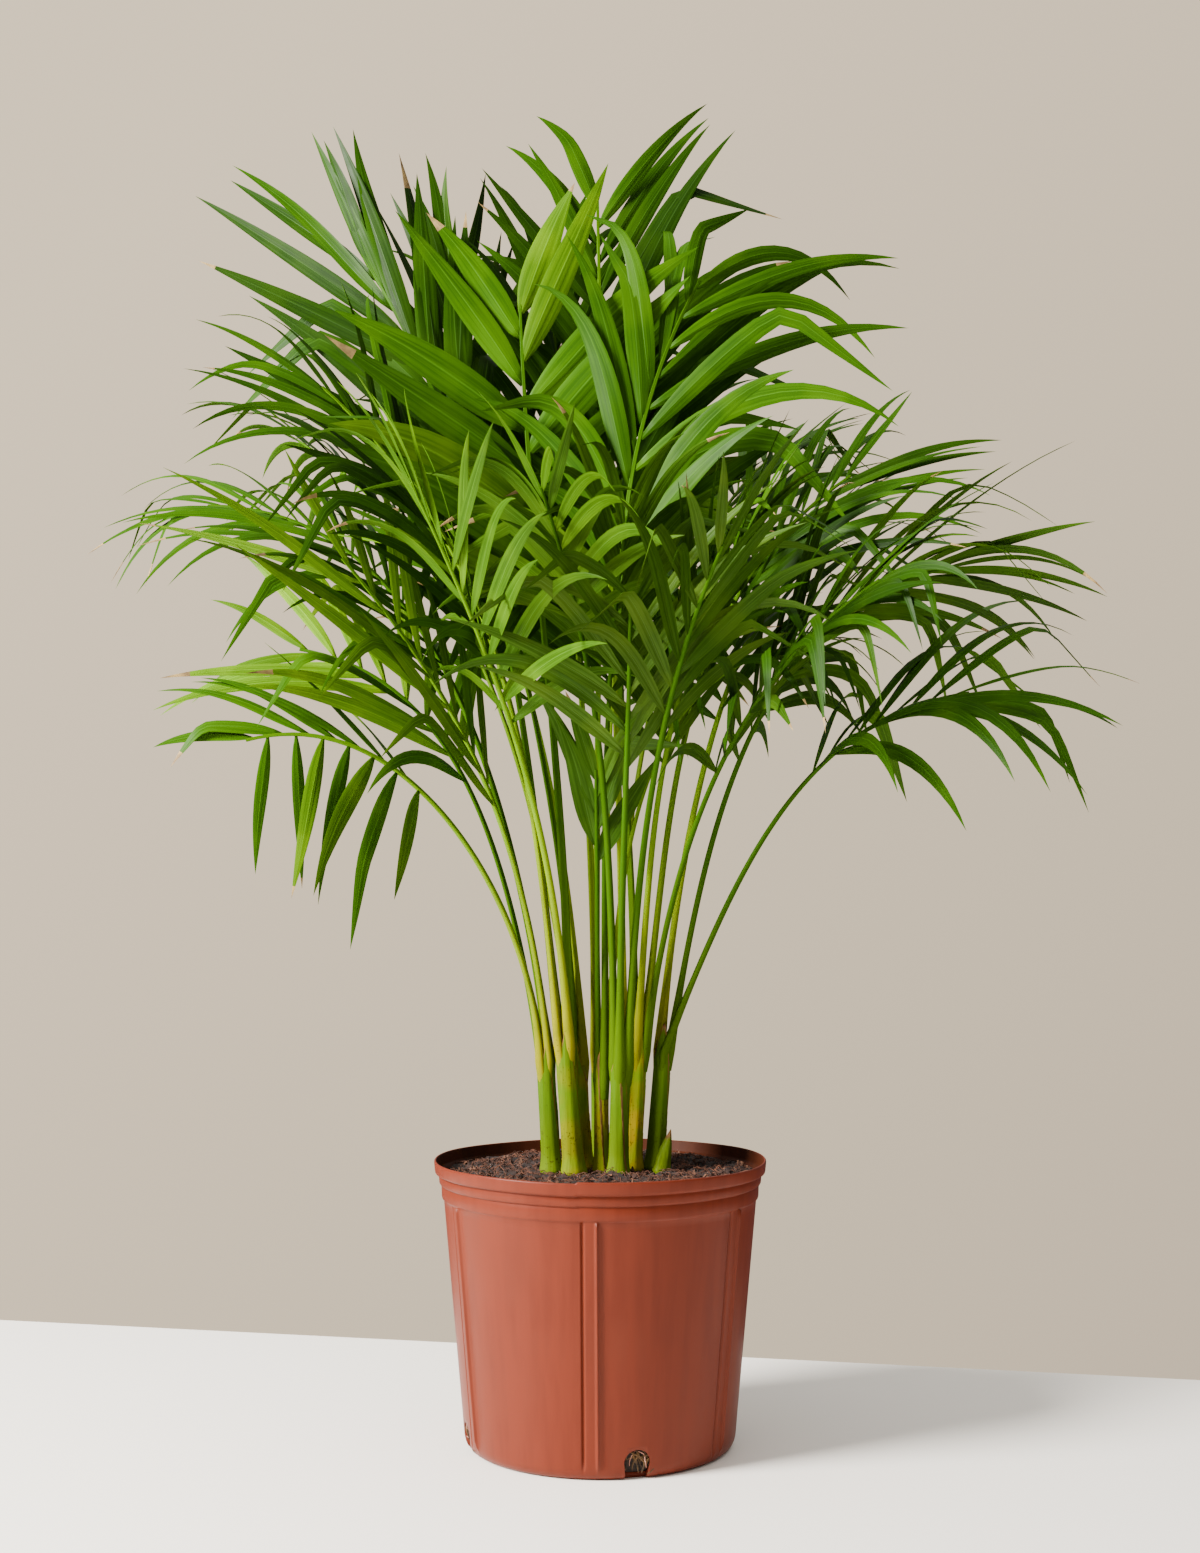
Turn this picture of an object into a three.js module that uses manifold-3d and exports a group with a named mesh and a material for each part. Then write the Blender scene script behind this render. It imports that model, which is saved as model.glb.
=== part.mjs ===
// Potted areca palm: a clump of eight short green shoots in a moulded plastic pot, with twenty-nine feather
// fronds. Millimetres, +Z up, origin at the middle of the pot's flat underside, the shown front looks to -Y.
import * as THREE from "three";
import Module from "manifold-3d";

const wasm = await Module();
wasm.setup();
const { Manifold, Mesh } = wasm;
const { sin, cos, hypot, atan2, min, max, PI } = Math;
const RAD = PI / 180;

// Pot
const potHeight = 218;
const rimRadius = 127;
const bandRadius = 123.4;
const wallTopRadius = 119.5;
const wallTopHeight = 189;
const wallFootRadius = 104;
const footRadius = 96;
const wallThickness = 2.2;
const floorThickness = 4;
const potSides = 40;
const drainHole = { count: 4, firstAngle: -75, radius: 9.8, height: 12.8, foot: -1.5, sides: 14 };
const pilaster = { count: 6, firstAngle: -94.5, width: 13, rise: 1.1, foot: 9, top: 188 };

// Potting mix
const soilTop = 209;
const soilEdgeDrop = 1.5;
const soilFlatRadius = 62;
const soilClearance = 0.3;

// Shoots
const stemClearance = 0.3;
const flareHeight = 12;
const flareGain = 1.22;
const shootSides = 9;

// Fronds
const ribTipWidth = 1.1;
const stalkPieces = 6;
const leafSteps = 12;
const kinkDroop = 14; // one leaflet in five is bent down at two thirds of its length
const mostBend = 0.9; // a leaflet that climbs bends over by no more than about a right angle
const ringSteps = [4, 8];
const leafClearance = 0.35;

// Each shoot: where it stands on the mix, its radius at the foot and the top, its height, and the way and
// angle that it leans.
const shoots = {
  far_left: { x: -37, y: -3, foot: 7.6, top: 7.1, height: 84, way: 180, lean: 3 },
  left: { x: -20, y: -12, foot: 8.2, top: 7.6, height: 97, way: 180, lean: 4 },
  back_left: { x: -13, y: 15, foot: 6.9, top: 6.7, height: 80, way: 130, lean: 4 },
  back: { x: 0, y: 36, foot: 7, top: 7, height: 86, way: 90, lean: 3 },
  middle: { x: 1, y: -2, foot: 5.6, top: 5.4, height: 70, way: -60, lean: 1 },
  front: { x: 14, y: -16, foot: 7.6, top: 7.4, height: 82, way: -60, lean: 3 },
  right: { x: 24, y: 8, foot: 7.6, top: 7.4, height: 90, way: 20, lean: 4 },
  far_right: { x: 42, y: 16, foot: 7.4, top: 6.8, height: 90, way: 20, lean: 5 },
};

// The dry cut stub at the right edge of the clump.
const stub = { x: 46, y: -6, foot: 6.2, top: 3, height: 31, way: 10, lean: 14 };

// What a frond has unless its own row says otherwise. Angles are in degrees: rise at the foot, settle at the
// tip, spread between leaflet and rib at the first and the last leaflet, vee above the blade's own plane and
// roll of the blade about the rib. Close is how late the spread narrows, tilt is how much more the leaflets on
// the right spread than those on the left, and sides are the lengths of the left and the right ones. Bare is
// the share of the length below the first leaflet. Droop is the pull of the leaflets towards the ground at
// the first and the last leaflet.
const usualFrond = {
  spread: [58, 17],
  vee: 20,
  roll: 0,
  droop: [0.6, 0.6],
  louvre: 14,
  stalk: 2.6,
  bare: 0.5,
  tilt: 0,
  close: 1,
  sides: [1, 1],
  split: false,
};

// The fronds, in the order in which they are given their room: the ones that make the outline come first.
const fronds = [
  { name: "left_long", shoot: "far_left", tip: [-312, 60, 728], rise: 82, settle: 2, leaf: 190, width: 12,
    pairs: 11, roll: 45, vee: 12, droop: [1.4, 1.4], split: true },
  { name: "right_low", shoot: "far_right", tip: [280, -20, 574], rise: 67, settle: 8, leaf: 212, width: 18,
    pairs: 6, roll: -40, vee: 12, bare: 0.62, spread: [54, 18], droop: [1.4, 1.4], split: true },
  { name: "left_low", shoot: "far_left", tip: [-262, -60, 536], rise: 86, settle: -16, leaf: 160, width: 16,
    pairs: 7, roll: 84, vee: -6, bare: 0.58, spread: [62, 48], tilt: -34, droop: [0.5, 0.7],
    sides: [1, 0.85], split: true },
  { name: "right_long", shoot: "far_right", tip: [272, 0, 672], rise: 80, settle: 10, leaf: 215, width: 15,
    pairs: 11, roll: 40, vee: 14, tilt: -10, droop: [1, 1], split: true },
  { name: "crown_left", shoot: "left", tip: [-188, 60, 926], rise: 83, settle: 57, leaf: 212, width: 22,
    pairs: 8, bare: 0.58, roll: 100, vee: 8, spread: [37, 12], tilt: -6, droop: [0.2, 0.2],
    sides: [1.16, 1] },
  { name: "crown_centre", shoot: "left", tip: [-63, 40, 886], rise: 89, settle: 86, leaf: 208, width: 32,
    pairs: 7, bare: 0.58, vee: 8, roll: 40, spread: [60, 16], close: 2.4, droop: [0.35, 0.2], stalk: 3.1 },
  { name: "crown_right", shoot: "front", tip: [-2, 90, 980], rise: 90, settle: 84, leaf: 208, width: 21,
    pairs: 10, bare: 0.52, vee: 12, spread: [46, 28], droop: [0.5, 0.3], sides: [0.76, 1.14] },
  { name: "crown_arch", shoot: "right", tip: [78, 32, 900], rise: 88, settle: 60, leaf: 208, width: 20,
    pairs: 8, bare: 0.58, roll: -85, vee: 14, spread: [40, 22], tilt: 8, droop: [1.1, 1.1],
    sides: [0.9, 1.15] },
  { name: "right_high", shoot: "right", tip: [198, 50, 750], rise: 82, settle: 34, leaf: 200, width: 14,
    pairs: 11, roll: -50, vee: 14, droop: [0.7, 0.7], split: true },
  { name: "left_mid", shoot: "far_left", tip: [-192, -50, 672], rise: 84, settle: 48, leaf: 226, width: 15,
    pairs: 8, roll: 78, vee: 6, bare: 0.46, spread: [37, 24], droop: [0.3, 0.3], sides: [1, 0.7] },
  { name: "left_high", shoot: "left", tip: [-212, -10, 808], rise: 84, settle: 42, leaf: 190, width: 14,
    pairs: 11, roll: 55, vee: 10, droop: [0.8, 0.8], split: true },
  { name: "right_front", shoot: "right", tip: [195, -150, 644], rise: 80, settle: 25, leaf: 180, width: 15,
    pairs: 10, roll: -60, vee: 10, droop: [0.8, 0.8], split: true },
  { name: "crown_back", shoot: "back", tip: [-40, 140, 915], rise: 88, settle: 80, leaf: 195, width: 21,
    pairs: 9, bare: 0.48, droop: [0.5, 0.5] },
  { name: "crown_far", shoot: "back_left", tip: [-126, 140, 936], rise: 88, settle: 80, leaf: 190,
    width: 19, pairs: 9, roll: 30, spread: [46, 10], droop: [0.35, 0.3], stalk: 2.1 },
  { name: "right_back", shoot: "far_right", tip: [200, 230, 742], rise: 80, settle: 30, leaf: 175,
    width: 15, pairs: 10, roll: 20, droop: [0.8, 0.8], split: true },
  { name: "left_back", shoot: "back_left", tip: [-255, 170, 800], rise: 81, settle: 30, leaf: 185,
    width: 15, pairs: 10, roll: -20, droop: [0.8, 0.8], stalk: 2.1, split: true },
  { name: "back_low", shoot: "back", tip: [0, 330, 757], rise: 78, settle: 20, leaf: 170, width: 15,
    pairs: 10, split: true },
  { name: "back_right", shoot: "back", tip: [165, 280, 813], rise: 80, settle: 25, leaf: 180, width: 15,
    pairs: 10, stalk: 2, split: true },
  { name: "back_left_low", shoot: "back_left", tip: [-150, 320, 752], rise: 80, settle: 20, leaf: 175,
    width: 15, pairs: 10, stalk: 2.1, split: true },
  { name: "front_centre", shoot: "front", tip: [22, -120, 640], rise: 88, settle: 78, leaf: 178, width: 14,
    pairs: 7, bare: 0.64, vee: 10, tilt: 6, droop: [0.8, 1], spread: [42, 34], sides: [1.15, 0.95] },
  { name: "front_left", shoot: "front", tip: [-42, -130, 712], rise: 87, settle: 52, leaf: 140, width: 15,
    pairs: 6, bare: 0.76, roll: 10, droop: [0.9, 1] },
  { name: "front_right", shoot: "front", tip: [84, -180, 664], rise: 84, settle: 42, leaf: 168, width: 14,
    pairs: 7, bare: 0.62, roll: -20, spread: [44, 20], droop: [0.8, 0.7] },
  { name: "left_front", shoot: "left", tip: [-132, -150, 712], rise: 84, settle: 52, leaf: 172, width: 15,
    pairs: 9, bare: 0.56, roll: 35, droop: [0.9, 0.9] },
  { name: "left_wide", shoot: "far_left", tip: [-236, 40, 612], rise: 80, settle: 10, leaf: 180, width: 15,
    pairs: 8, bare: 0.52, roll: 66, vee: 10, spread: [50, 26], droop: [0.9, 0.7], stalk: 2.2, split: true },
  { name: "right_drop", shoot: "middle", tip: [148, -14, 610], rise: 85, settle: 10, leaf: 150, width: 13,
    pairs: 7, bare: 0.6, droop: [1.8, 1.2], stalk: 2.1, split: true },
  { name: "right_inner", shoot: "right", tip: [106, -70, 683], rise: 84, settle: 50, leaf: 170, width: 15,
    pairs: 9, bare: 0.52, roll: -35 },
  { name: "back_middle", shoot: "back", tip: [40, 190, 836], rise: 87, settle: 50, leaf: 175, width: 15,
    pairs: 10, stalk: 2 },
  { name: "middle_tall", shoot: "middle", tip: [20, -70, 700], rise: 88, settle: 60, leaf: 165, width: 17,
    pairs: 7, bare: 0.68, droop: [1.3, 1.3], stalk: 2.3 },
  { name: "front_small", shoot: "middle", tip: [-3, -30, 515], rise: 89, settle: 86, leaf: 112, width: 22,
    pairs: 2, bare: 0.7, vee: 10, spread: [28, 16], stalk: 1.9 },
];

const add = (a, b, k = 1) => [a[0] + b[0] * k, a[1] + b[1] * k, a[2] + b[2] * k];
const sub = (a, b) => [a[0] - b[0], a[1] - b[1], a[2] - b[2]];
const dot = (a, b) => a[0] * b[0] + a[1] * b[1] + a[2] * b[2];
const cross = (a, b) => [a[1] * b[2] - a[2] * b[1], a[2] * b[0] - a[0] * b[2], a[0] * b[1] - a[1] * b[0]];
const unit = (a) => a.map((c) => c / hypot(...a));
const turn = (a, b, angle) => add(a.map((c) => c * cos(angle * RAD)), b, sin(angle * RAD));
const aim = (way, climb) => [
  cos(way * RAD) * cos(climb * RAD),
  sin(way * RAD) * cos(climb * RAD),
  sin(climb * RAD),
];

// A number from 0 to 1 that is always the same for the same frond, leaflet and use.
function chance(frond, leaflet, use) {
  let h = Math.imul(frond + 1, 73856093) ^ Math.imul(leaflet + 1, 19349663) ^ Math.imul(use + 1, 83492791);
  h = Math.imul(h ^ (h >>> 16), 2246822507);
  h = Math.imul(h ^ (h >>> 13), 3266489909);
  return ((h ^ (h >>> 16)) >>> 0) / 4294967296;
}

// A body of revolution about Z from a profile of [radius, height] that starts and ends on the axis.
function lathe(profile, sides) {
  const points = [];
  const faces = [];
  const rings = profile.map(([radius, height]) => {
    const ring = [];
    for (let i = 0; i < (radius > 0 ? sides : 1); i++) {
      const a = (i / sides) * 2 * PI;
      ring.push(points.push([radius * cos(a), radius * sin(a), height]) - 1);
    }
    return ring;
  });
  for (let r = 0; r + 1 < rings.length; r++) {
    for (let i = 0; i < sides; i++) {
      const [a, b] = [rings[r], rings[r + 1]];
      const next = (i + 1) % sides;
      if (a.length > 1) faces.push([a[i], a[next], b[i % b.length]]);
      if (b.length > 1) faces.push([a[next % a.length], b[next], b[i]]);
    }
  }
  return { points, faces };
}

const toSolid = ({ points, faces }) =>
  new Manifold(
    new Mesh({
      numProp: 3,
      vertProperties: new Float32Array(points.flat()),
      triVerts: new Uint32Array(faces.flat()),
    }),
  );

function toShape(solid) {
  const mesh = solid.getMesh();
  const points = [];
  const faces = [];
  for (let i = 0; i < mesh.vertProperties.length; i += mesh.numProp) {
    points.push(Array.from(mesh.vertProperties.slice(i, i + 3)));
  }
  for (let i = 0; i < mesh.triVerts.length; i += 3) {
    faces.push(Array.from(mesh.triVerts.slice(i, i + 3)));
  }
  return { points, faces };
}

function potShape() {
  const profile = [
    [0, 0],
    [footRadius, 0],
    [footRadius + 4.6, 1.8],
    [wallFootRadius - 1, 5.4],
    [wallFootRadius, 10],
    [wallTopRadius, wallTopHeight],
    [bandRadius - 2.6, 190.4],
    [bandRadius - 2, 199.4],
    [bandRadius - 0.6, 201.2],
    [bandRadius, 207.2],
    [rimRadius - 1.4, 208.7],
    [rimRadius - 0.6, 210.4],
    [rimRadius, potHeight - 1.3],
    [rimRadius - 0.8, potHeight],
    [rimRadius - 1.9, potHeight - 0.3],
    [rimRadius - 2.7, potHeight - 8],
    [rimRadius - 3.6, potHeight - 9.4],
    [bandRadius - 2, potHeight - 10.4],
    [bandRadius - 2.4, potHeight - 16],
    [bandRadius - 4.4, potHeight - 18],
    [wallTopRadius - wallThickness, wallTopHeight],
    [wallFootRadius - wallThickness, 12],
    [footRadius, floorThickness],
    [0, floorThickness],
  ];
  let solid = toSolid(lathe(profile, potSides));
  const wallAt = (z) => wallFootRadius + ((wallTopRadius - wallFootRadius) * (z - 10)) / (wallTopHeight - 10);
  for (let i = 0; i < pilaster.count; i++) {
    const way = pilaster.firstAngle + (360 / pilaster.count) * i;
    const points = [];
    for (const z of [pilaster.foot, pilaster.top]) {
      for (const side of [-1, 1]) {
        for (const depth of [-1.2, pilaster.rise]) {
          const out = add([0, 0, z], aim(way, 0), wallAt(z) + depth);
          points.push(add(out, aim(way + 90, 0), side * (pilaster.width / 2 - max(0, depth) * 0.6)));
        }
      }
    }
    solid = solid.add(Manifold.hull(points));
  }
  for (let i = 0; i < drainHole.count; i++) {
    const points = [];
    for (const depth of [-9, 9]) {
      for (let k = 0; k < drainHole.sides; k++) {
        const a = (k / drainHole.sides) * 2 * PI;
        const way = drainHole.firstAngle + (360 / drainHole.count) * i;
        const out = add([0, 0, drainHole.height], aim(way, 0), wallFootRadius + depth);
        const across = add(out, aim(way + 90, 0), drainHole.radius * cos(a));
        const rise = sin(a) < -0.45 ? drainHole.foot - drainHole.height : drainHole.radius * sin(a);
        points.push(add(across, [0, 0, 1], rise));
      }
    }
    solid = solid.subtract(Manifold.hull(points));
  }
  return toShape(solid);
}

function soilShape() {
  const inner = wallFootRadius - wallThickness;
  const reach = wallTopRadius - wallThickness - soilClearance;
  const top = bandRadius - 2.8;
  return lathe(
    [
      [0, floorThickness],
      [footRadius - 1, floorThickness],
      [inner - soilClearance - 0.3, 12],
      [reach, wallTopHeight],
      [top - 2.2, 199.6],
      [top - 0.4, 202.6],
      [top, soilTop - soilEdgeDrop],
      [(top + soilFlatRadius) / 2, soilTop - soilEdgeDrop / 3],
      [soilFlatRadius, soilTop],
      [0, soilTop],
    ],
    potSides,
  );
}

const shootTop = (s) => add([s.x, s.y, soilTop], aim(s.way, 90 - s.lean), s.height);

// A leaning cane with a root flare, cut flat on the mix and flat at its top.
function shootShape(s) {
  const points = [];
  const faces = [];
  const heights = [0, flareHeight * 0.4, flareHeight, s.height * 0.55, s.height];
  for (const h of heights) {
    const flare = 1 + (flareGain - 1) * max(0, 1 - h / flareHeight) ** 1.5;
    const radius = (s.foot + ((s.top - s.foot) * h) / s.height) * flare;
    const lean = h * sin(s.lean * RAD);
    for (let i = 0; i < shootSides; i++) {
      const a = (i / shootSides) * 360;
      const middle = add([s.x, s.y, soilTop + h * cos(s.lean * RAD)], aim(s.way, 0), lean);
      points.push(add(middle, aim(a, 0), radius));
    }
  }
  for (let r = 0; r + 1 < heights.length; r++) {
    for (let i = 0; i < shootSides; i++) {
      const [a, b] = [r * shootSides + i, r * shootSides + ((i + 1) % shootSides)];
      faces.push([a, b, b + shootSides], [a, b + shootSides, a + shootSides]);
    }
  }
  const last = (heights.length - 1) * shootSides;
  for (let i = 1; i + 1 < shootSides; i++) {
    faces.push([0, i + 1, i], [last, last + i, last + i + 1]);
  }
  return { points, faces };
}

// Where a frond stands on the shoot's top, and its heading: the shoot's fronds share the ring evenly, in the
// order of their headings about the way that the shoot leans.
function standing(frond) {
  const shoot = shoots[frond.shoot];
  const top = shootTop(shoot);
  const heading = (f) => atan2(f.tip[1] - top[1], f.tip[0] - top[0]) / RAD;
  const aside = (f) => ((heading(f) - shoot.way + 540) % 360) - 180;
  const mates = fronds.filter((f) => f.shoot === frond.shoot).sort((a, b) => aside(a) - aside(b));
  const place = mates.indexOf(frond) - (mates.length - 1) / 2;
  return { heading: heading(frond), way: shoot.way + (place * 360) / mates.length, mates: mates.length };
}

// The rib's centre line as four handles of a cubic curve.
function ribLine(frond) {
  const shoot = shoots[frond.shoot];
  const { heading, way, mates } = standing(frond);
  const out = mates > 1 ? shoot.top - frond.stalk : 0;
  const start = add(add(shootTop(shoot), aim(way, 0), out), [0, 0, 1], stemClearance);
  const chord = hypot(...sub(frond.tip, start));
  return [
    start,
    add(start, aim(heading, frond.rise), chord * 0.38),
    add(frond.tip, aim(heading, frond.settle), -chord * 0.38),
    frond.tip,
  ];
}

function onLine([a, b, c, d], t) {
  const q = 1 - t;
  const place = add(add(add([0, 0, 0], a, q * q * q), b, 3 * q * q * t), c, 3 * q * t * t);
  const slope = add(add(add([0, 0, 0], sub(b, a), q * q), sub(c, b), 2 * q * t), sub(d, c), t * t);
  return { place: add(place, d, t * t * t), along: unit(slope) };
}

// The rib at a share t of its length: its place, direction, right hand, upper side and half its width.
function ribAt(frond, line, t) {
  const { place, along } = onLine(line, t);
  const { heading } = standing(frond);
  const level = aim(heading - 90, 0);
  const right = unit(add(level, along, -dot(level, along)));
  const up = cross(right, along);
  const roll = frond.roll * (0.4 + 0.6 * max(0, (t - frond.bare) / (1 - frond.bare)));
  const half = frond.stalk + (ribTipWidth - frond.stalk) * t ** 1.5;
  return { place, along, right: turn(right, up, roll), up: turn(up, right, -roll), half };
}

function ribSection({ place, right, up, half }) {
  const high = add(place, up, half * 0.45);
  return [add(high, right, -half), add(high, right, half), add(place, up, -half * 0.9)];
}

function smooth(low, high, x) {
  const t = min(1, max(0, (x - low) / (high - low)));
  return t * t * (3 - 2 * t);
}

// A leaflet's length as a share of the frond's longest, by its place along the blade.
const leafShare = (u) =>
  u < 0.35 ? 1 - 0.3 * ((0.35 - u) / 0.35) ** 2 : 1 - 0.42 * ((u - 0.35) / 0.65) ** 2;

// A leaflet's width as a share of its widest, by the place along the leaflet.
const leafWidthShare = (t) =>
  t < 0.45 ? min(1, 0.28 + 2.6 * t) : max(0, 1 - ((t - 0.45) / 0.55) ** 1.7);

// One leaflet: its tip, and two rings of three points on its curve, each a ridge, a front and a back edge.
function leaflet(frond, number, k, rib, change) {
  const side = k % 2 ? 1 : -1;
  const u = (k + 0.5) / (2 * frond.pairs);
  const luck = (use) => chance(number, k, use);
  const [wide, narrow] = frond.spread;
  const spread = wide + (narrow - wide) * u ** frond.close + (luck(0) - 0.5) * 18 + frond.tilt * side;
  const vee = frond.vee * (1 - 0.35 * u) + (luck(1) - 0.5) * 26 + change.vee;
  const outward = turn(rib.right.map((c) => c * side), rib.up, vee);
  const set = turn(rib.along, outward, spread);
  const length = frond.leaf * leafShare(u) * (0.84 + 0.26 * luck(2)) * change.length * frond.sides[k % 2];
  const [sag, tipSag] = frond.droop;
  const droop = (sag + (tipSag - sag) * u) * (0.45 + 1.4 * luck(3) ** 1.8);
  const bent = kinkDroop * max(0, luck(9) - 0.8);
  const bow = (luck(6) - 0.35) * 0.16;
  const fullness = (0.72 + 0.28 * sin(PI * min(1, u + 0.25))) * (0.93 + 0.14 * luck(4));
  const width = frond.width * fullness * change.width;
  const thick = max(1.9, length / 95);
  const flat = unit(add(rib.along, set, -dot(rib.along, set)));
  let place = add(rib.place, outward, rib.half);
  const corners = [place];
  for (let i = 0; i < leafSteps; i++) {
    const middle = (i + 0.5) / leafSteps;
    const pull = droop * middle ** 1.6 + bent * smooth(0.5, 0.75, middle);
    const fall = min(pull, mostBend / max(0.2, set[2]));
    const along = unit(add(add(set, [0, 0, -1], fall), flat, bow * sin(middle * 4.5)));
    place = add(place, along, length / leafSteps);
    if (ringSteps.includes(i + 1) || i + 1 === leafSteps) corners.push(place);
  }
  let across = turn(flat, cross(set, flat), frond.louvre * side);
  const rings = ringSteps.map((step, i) => {
    const [before, here, after] = corners.slice(i, i + 3);
    const along = unit(add(unit(sub(here, before)), unit(sub(after, here))));
    across = unit(add(across, along, -dot(across, along)));
    const face = cross(along, across).map((c) => c * side);
    const half = (width / 2) * leafWidthShare(step / leafSteps);
    return [
      add(here, face, thick * 0.6),
      add(add(here, across, half), face, -thick * 0.4),
      add(add(here, across, -half), face, -thick * 0.4),
    ];
  });
  return { rings, tip: place };
}

// A convex piece for the room test: its points, with the directions of its main edges and faces.
function piece(points, edges, faces) {
  const low = [0, 1, 2].map((i) => min(...points.map((p) => p[i])));
  const high = [0, 1, 2].map((i) => max(...points.map((p) => p[i])));
  return { points, edges, faces, low, high };
}

function apart(a, b) {
  for (let i = 0; i < 3; i++) {
    if (a.low[i] > b.high[i] + leafClearance || b.low[i] > a.high[i] + leafClearance) return true;
  }
  const axes = [...a.faces, ...b.faces];
  for (const edge of a.edges) {
    axes.push(...b.edges.map((other) => cross(edge, other)));
  }
  return axes.some((axis) => {
    const size = hypot(...axis);
    if (size < 1e-6) return false;
    const alongA = a.points.map((p) => dot(p, axis) / size);
    const alongB = b.points.map((p) => dot(p, axis) / size);
    const gap = max(min(...alongA) - max(...alongB), min(...alongB) - max(...alongA));
    return gap >= leafClearance;
  });
}

// The leaflet as three convex pieces, from a share of the way between the rib and the first ring.
function leafPieces(root, { rings, tip }, from) {
  const [near, far] = rings;
  const foot = root.map((p, i) => add(p, sub(near[[2, 1, 1, 2][i]], p), from));
  const span = (points, [ridge, front, back], end) => {
    const along = [sub(end[1], front), sub(end[2], back)];
    const across = [sub(front, back), sub(ridge, front), sub(ridge, back)];
    const faces = [cross(along[0], across[0]), cross(along[0], across[1]), cross(along[1], across[2])];
    return piece(points, [...along, sub(end[0], ridge), ...across], faces);
  };
  return [
    span([...foot, ...near], near, [near[0], foot[1], foot[0]]),
    span([...near, ...far], near, far),
    span([...far, tip], far, [tip, tip, tip]),
  ];
}

function ribPiece(a, b) {
  const along = sub(b[2], a[2]);
  const edges = [along, sub(a[0], a[1]), sub(a[1], a[2]), sub(a[2], a[0])];
  return piece([...a, ...b], edges, edges.slice(1).map((e) => cross(along, e)));
}

// What is tried for a leaflet that finds no room, in this order, before it is left out.
const changes = [
  { vee: 0, length: 1, width: 1 },
  { vee: 7, length: 1, width: 1 },
  { vee: -7, length: 1, width: 1 },
  { vee: 14, length: 1, width: 0.9 },
  { vee: -14, length: 1, width: 0.9 },
  { vee: 21, length: 0.95, width: 0.8 },
  { vee: -21, length: 0.95, width: 0.8 },
  { vee: 0, length: 0.8, width: 0.75 },
  { vee: 10, length: 0.7, width: 0.7 },
  { vee: -10, length: 0.7, width: 0.7 },
];

const rows = fronds.map((row) => Object.assign(row, { ...usualFrond, ...row }));

// The ribs of all fronds come first, then each frond's leaflets find their room between them.
const plans = rows.map((frond, number) => {
  const line = ribLine(frond);
  const stops = [];
  for (let i = 0; i < stalkPieces; i++) stops.push((frond.bare * i) / stalkPieces);
  for (let i = 0; i <= 2 * frond.pairs; i++) {
    stops.push(frond.bare + ((1 - frond.bare) * i) / (2 * frond.pairs));
  }
  const sections = stops.map((t) => ribSection(ribAt(frond, line, t)));
  sections[0] = sections[0].map((p) => [p[0], p[1], shootTop(shoots[frond.shoot])[2] + stemClearance]);
  const pieces = sections.slice(1).map((s, i) => ribPiece(sections[i], s));
  return { frond, number, line, stops, sections, pieces, leaves: [] };
});

const taken = [];
for (const plan of plans) {
  const { frond, number, line, stops, sections } = plan;
  for (let k = 0; k < 2 * frond.pairs; k++) {
    const at = stalkPieces + k;
    const rib = ribAt(frond, line, (stops[at] + stops[at + 1]) / 2);
    const hand = k % 2 ? 1 : 0;
    const root = [sections[at][hand], sections[at + 1][hand], sections[at + 1][2], sections[at][2]];
    const fits = (change) => {
      const leaf = leaflet(frond, number, k, rib, change);
      const whole = leafPieces(root, leaf, 0);
      const clear = leafPieces(root, leaf, 0.15);
      const others = plans.filter((p) => p !== plan).flatMap((p) => p.pieces);
      const free =
        others.every((p) => whole.every((w) => apart(w, p))) &&
        plan.pieces.every((p) => clear.every((w) => apart(w, p))) &&
        taken.every((t) => (t.plan === plan ? clear : whole).every((w) => apart(w, t.piece)));
      return free ? { leaf, whole } : null;
    };
    let found = null;
    for (const change of changes) {
      found = found || fits(change);
    }
    plan.leaves.push(found ? { ...found.leaf, root } : null);
    if (found) found.whole.forEach((w) => taken.push({ plan, piece: w }));
  }
}

// The stations from first to last as one closed body: a three-sided rib, with a leaflet on one side of each
// step of the blade and the bare rib on the other side.
function frondShape(plan, first, last) {
  const points = [];
  const faces = [];
  const sections = plan.sections.slice(first, last + 1).map((s) => s.map((p) => points.push(p) - 1));
  for (let i = 0; i + 1 < sections.length; i++) {
    const [a, b] = [sections[i], sections[i + 1]];
    const k = first + i - stalkPieces;
    const leaf = k >= 0 ? plan.leaves[k] : null;
    faces.push([a[0], a[1], b[1]], [a[0], b[1], b[0]]);
    for (const hand of [1, 0]) {
      const quad = [a[hand], b[hand], b[2], a[2]];
      const out = [];
      if (leaf && (k % 2 ? 1 : 0) === hand) {
        const [near, far] = leaf.rings.map((ring) => ring.map((p) => points.push(p) - 1));
        const tip = points.push(leaf.tip) - 1;
        out.push([quad[0], near[0], quad[1]], [quad[1], near[0], near[1]], [quad[1], near[1], quad[2]]);
        out.push([quad[2], near[1], near[2]], [quad[2], near[2], quad[3]], [quad[3], near[2], quad[0]]);
        out.push([quad[0], near[2], near[0]]);
        for (let e = 0; e < 3; e++) {
          const n = (e + 1) % 3;
          out.push([near[e], far[e], far[n]], [near[e], far[n], near[n]], [far[e], tip, far[n]]);
        }
      } else {
        out.push([quad[0], quad[2], quad[1]], [quad[0], quad[3], quad[2]]);
      }
      faces.push(...(hand ? out : out.map((f) => [f[0], f[2], f[1]])));
    }
  }
  const [foot, end] = [sections[0], sections[sections.length - 1]];
  faces.push([foot[0], foot[2], foot[1]], [end[0], end[1], end[2]]);
  return { points, faces };
}

function geometry({ points, faces }) {
  const made = new THREE.BufferGeometry();
  made.setAttribute("position", new THREE.Float32BufferAttribute(points.flat(), 3));
  made.setIndex(faces.flat());
  made.computeVertexNormals();
  return made;
}

const palm = new THREE.Group();
palm.name = "potted_areca_palm";

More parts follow.
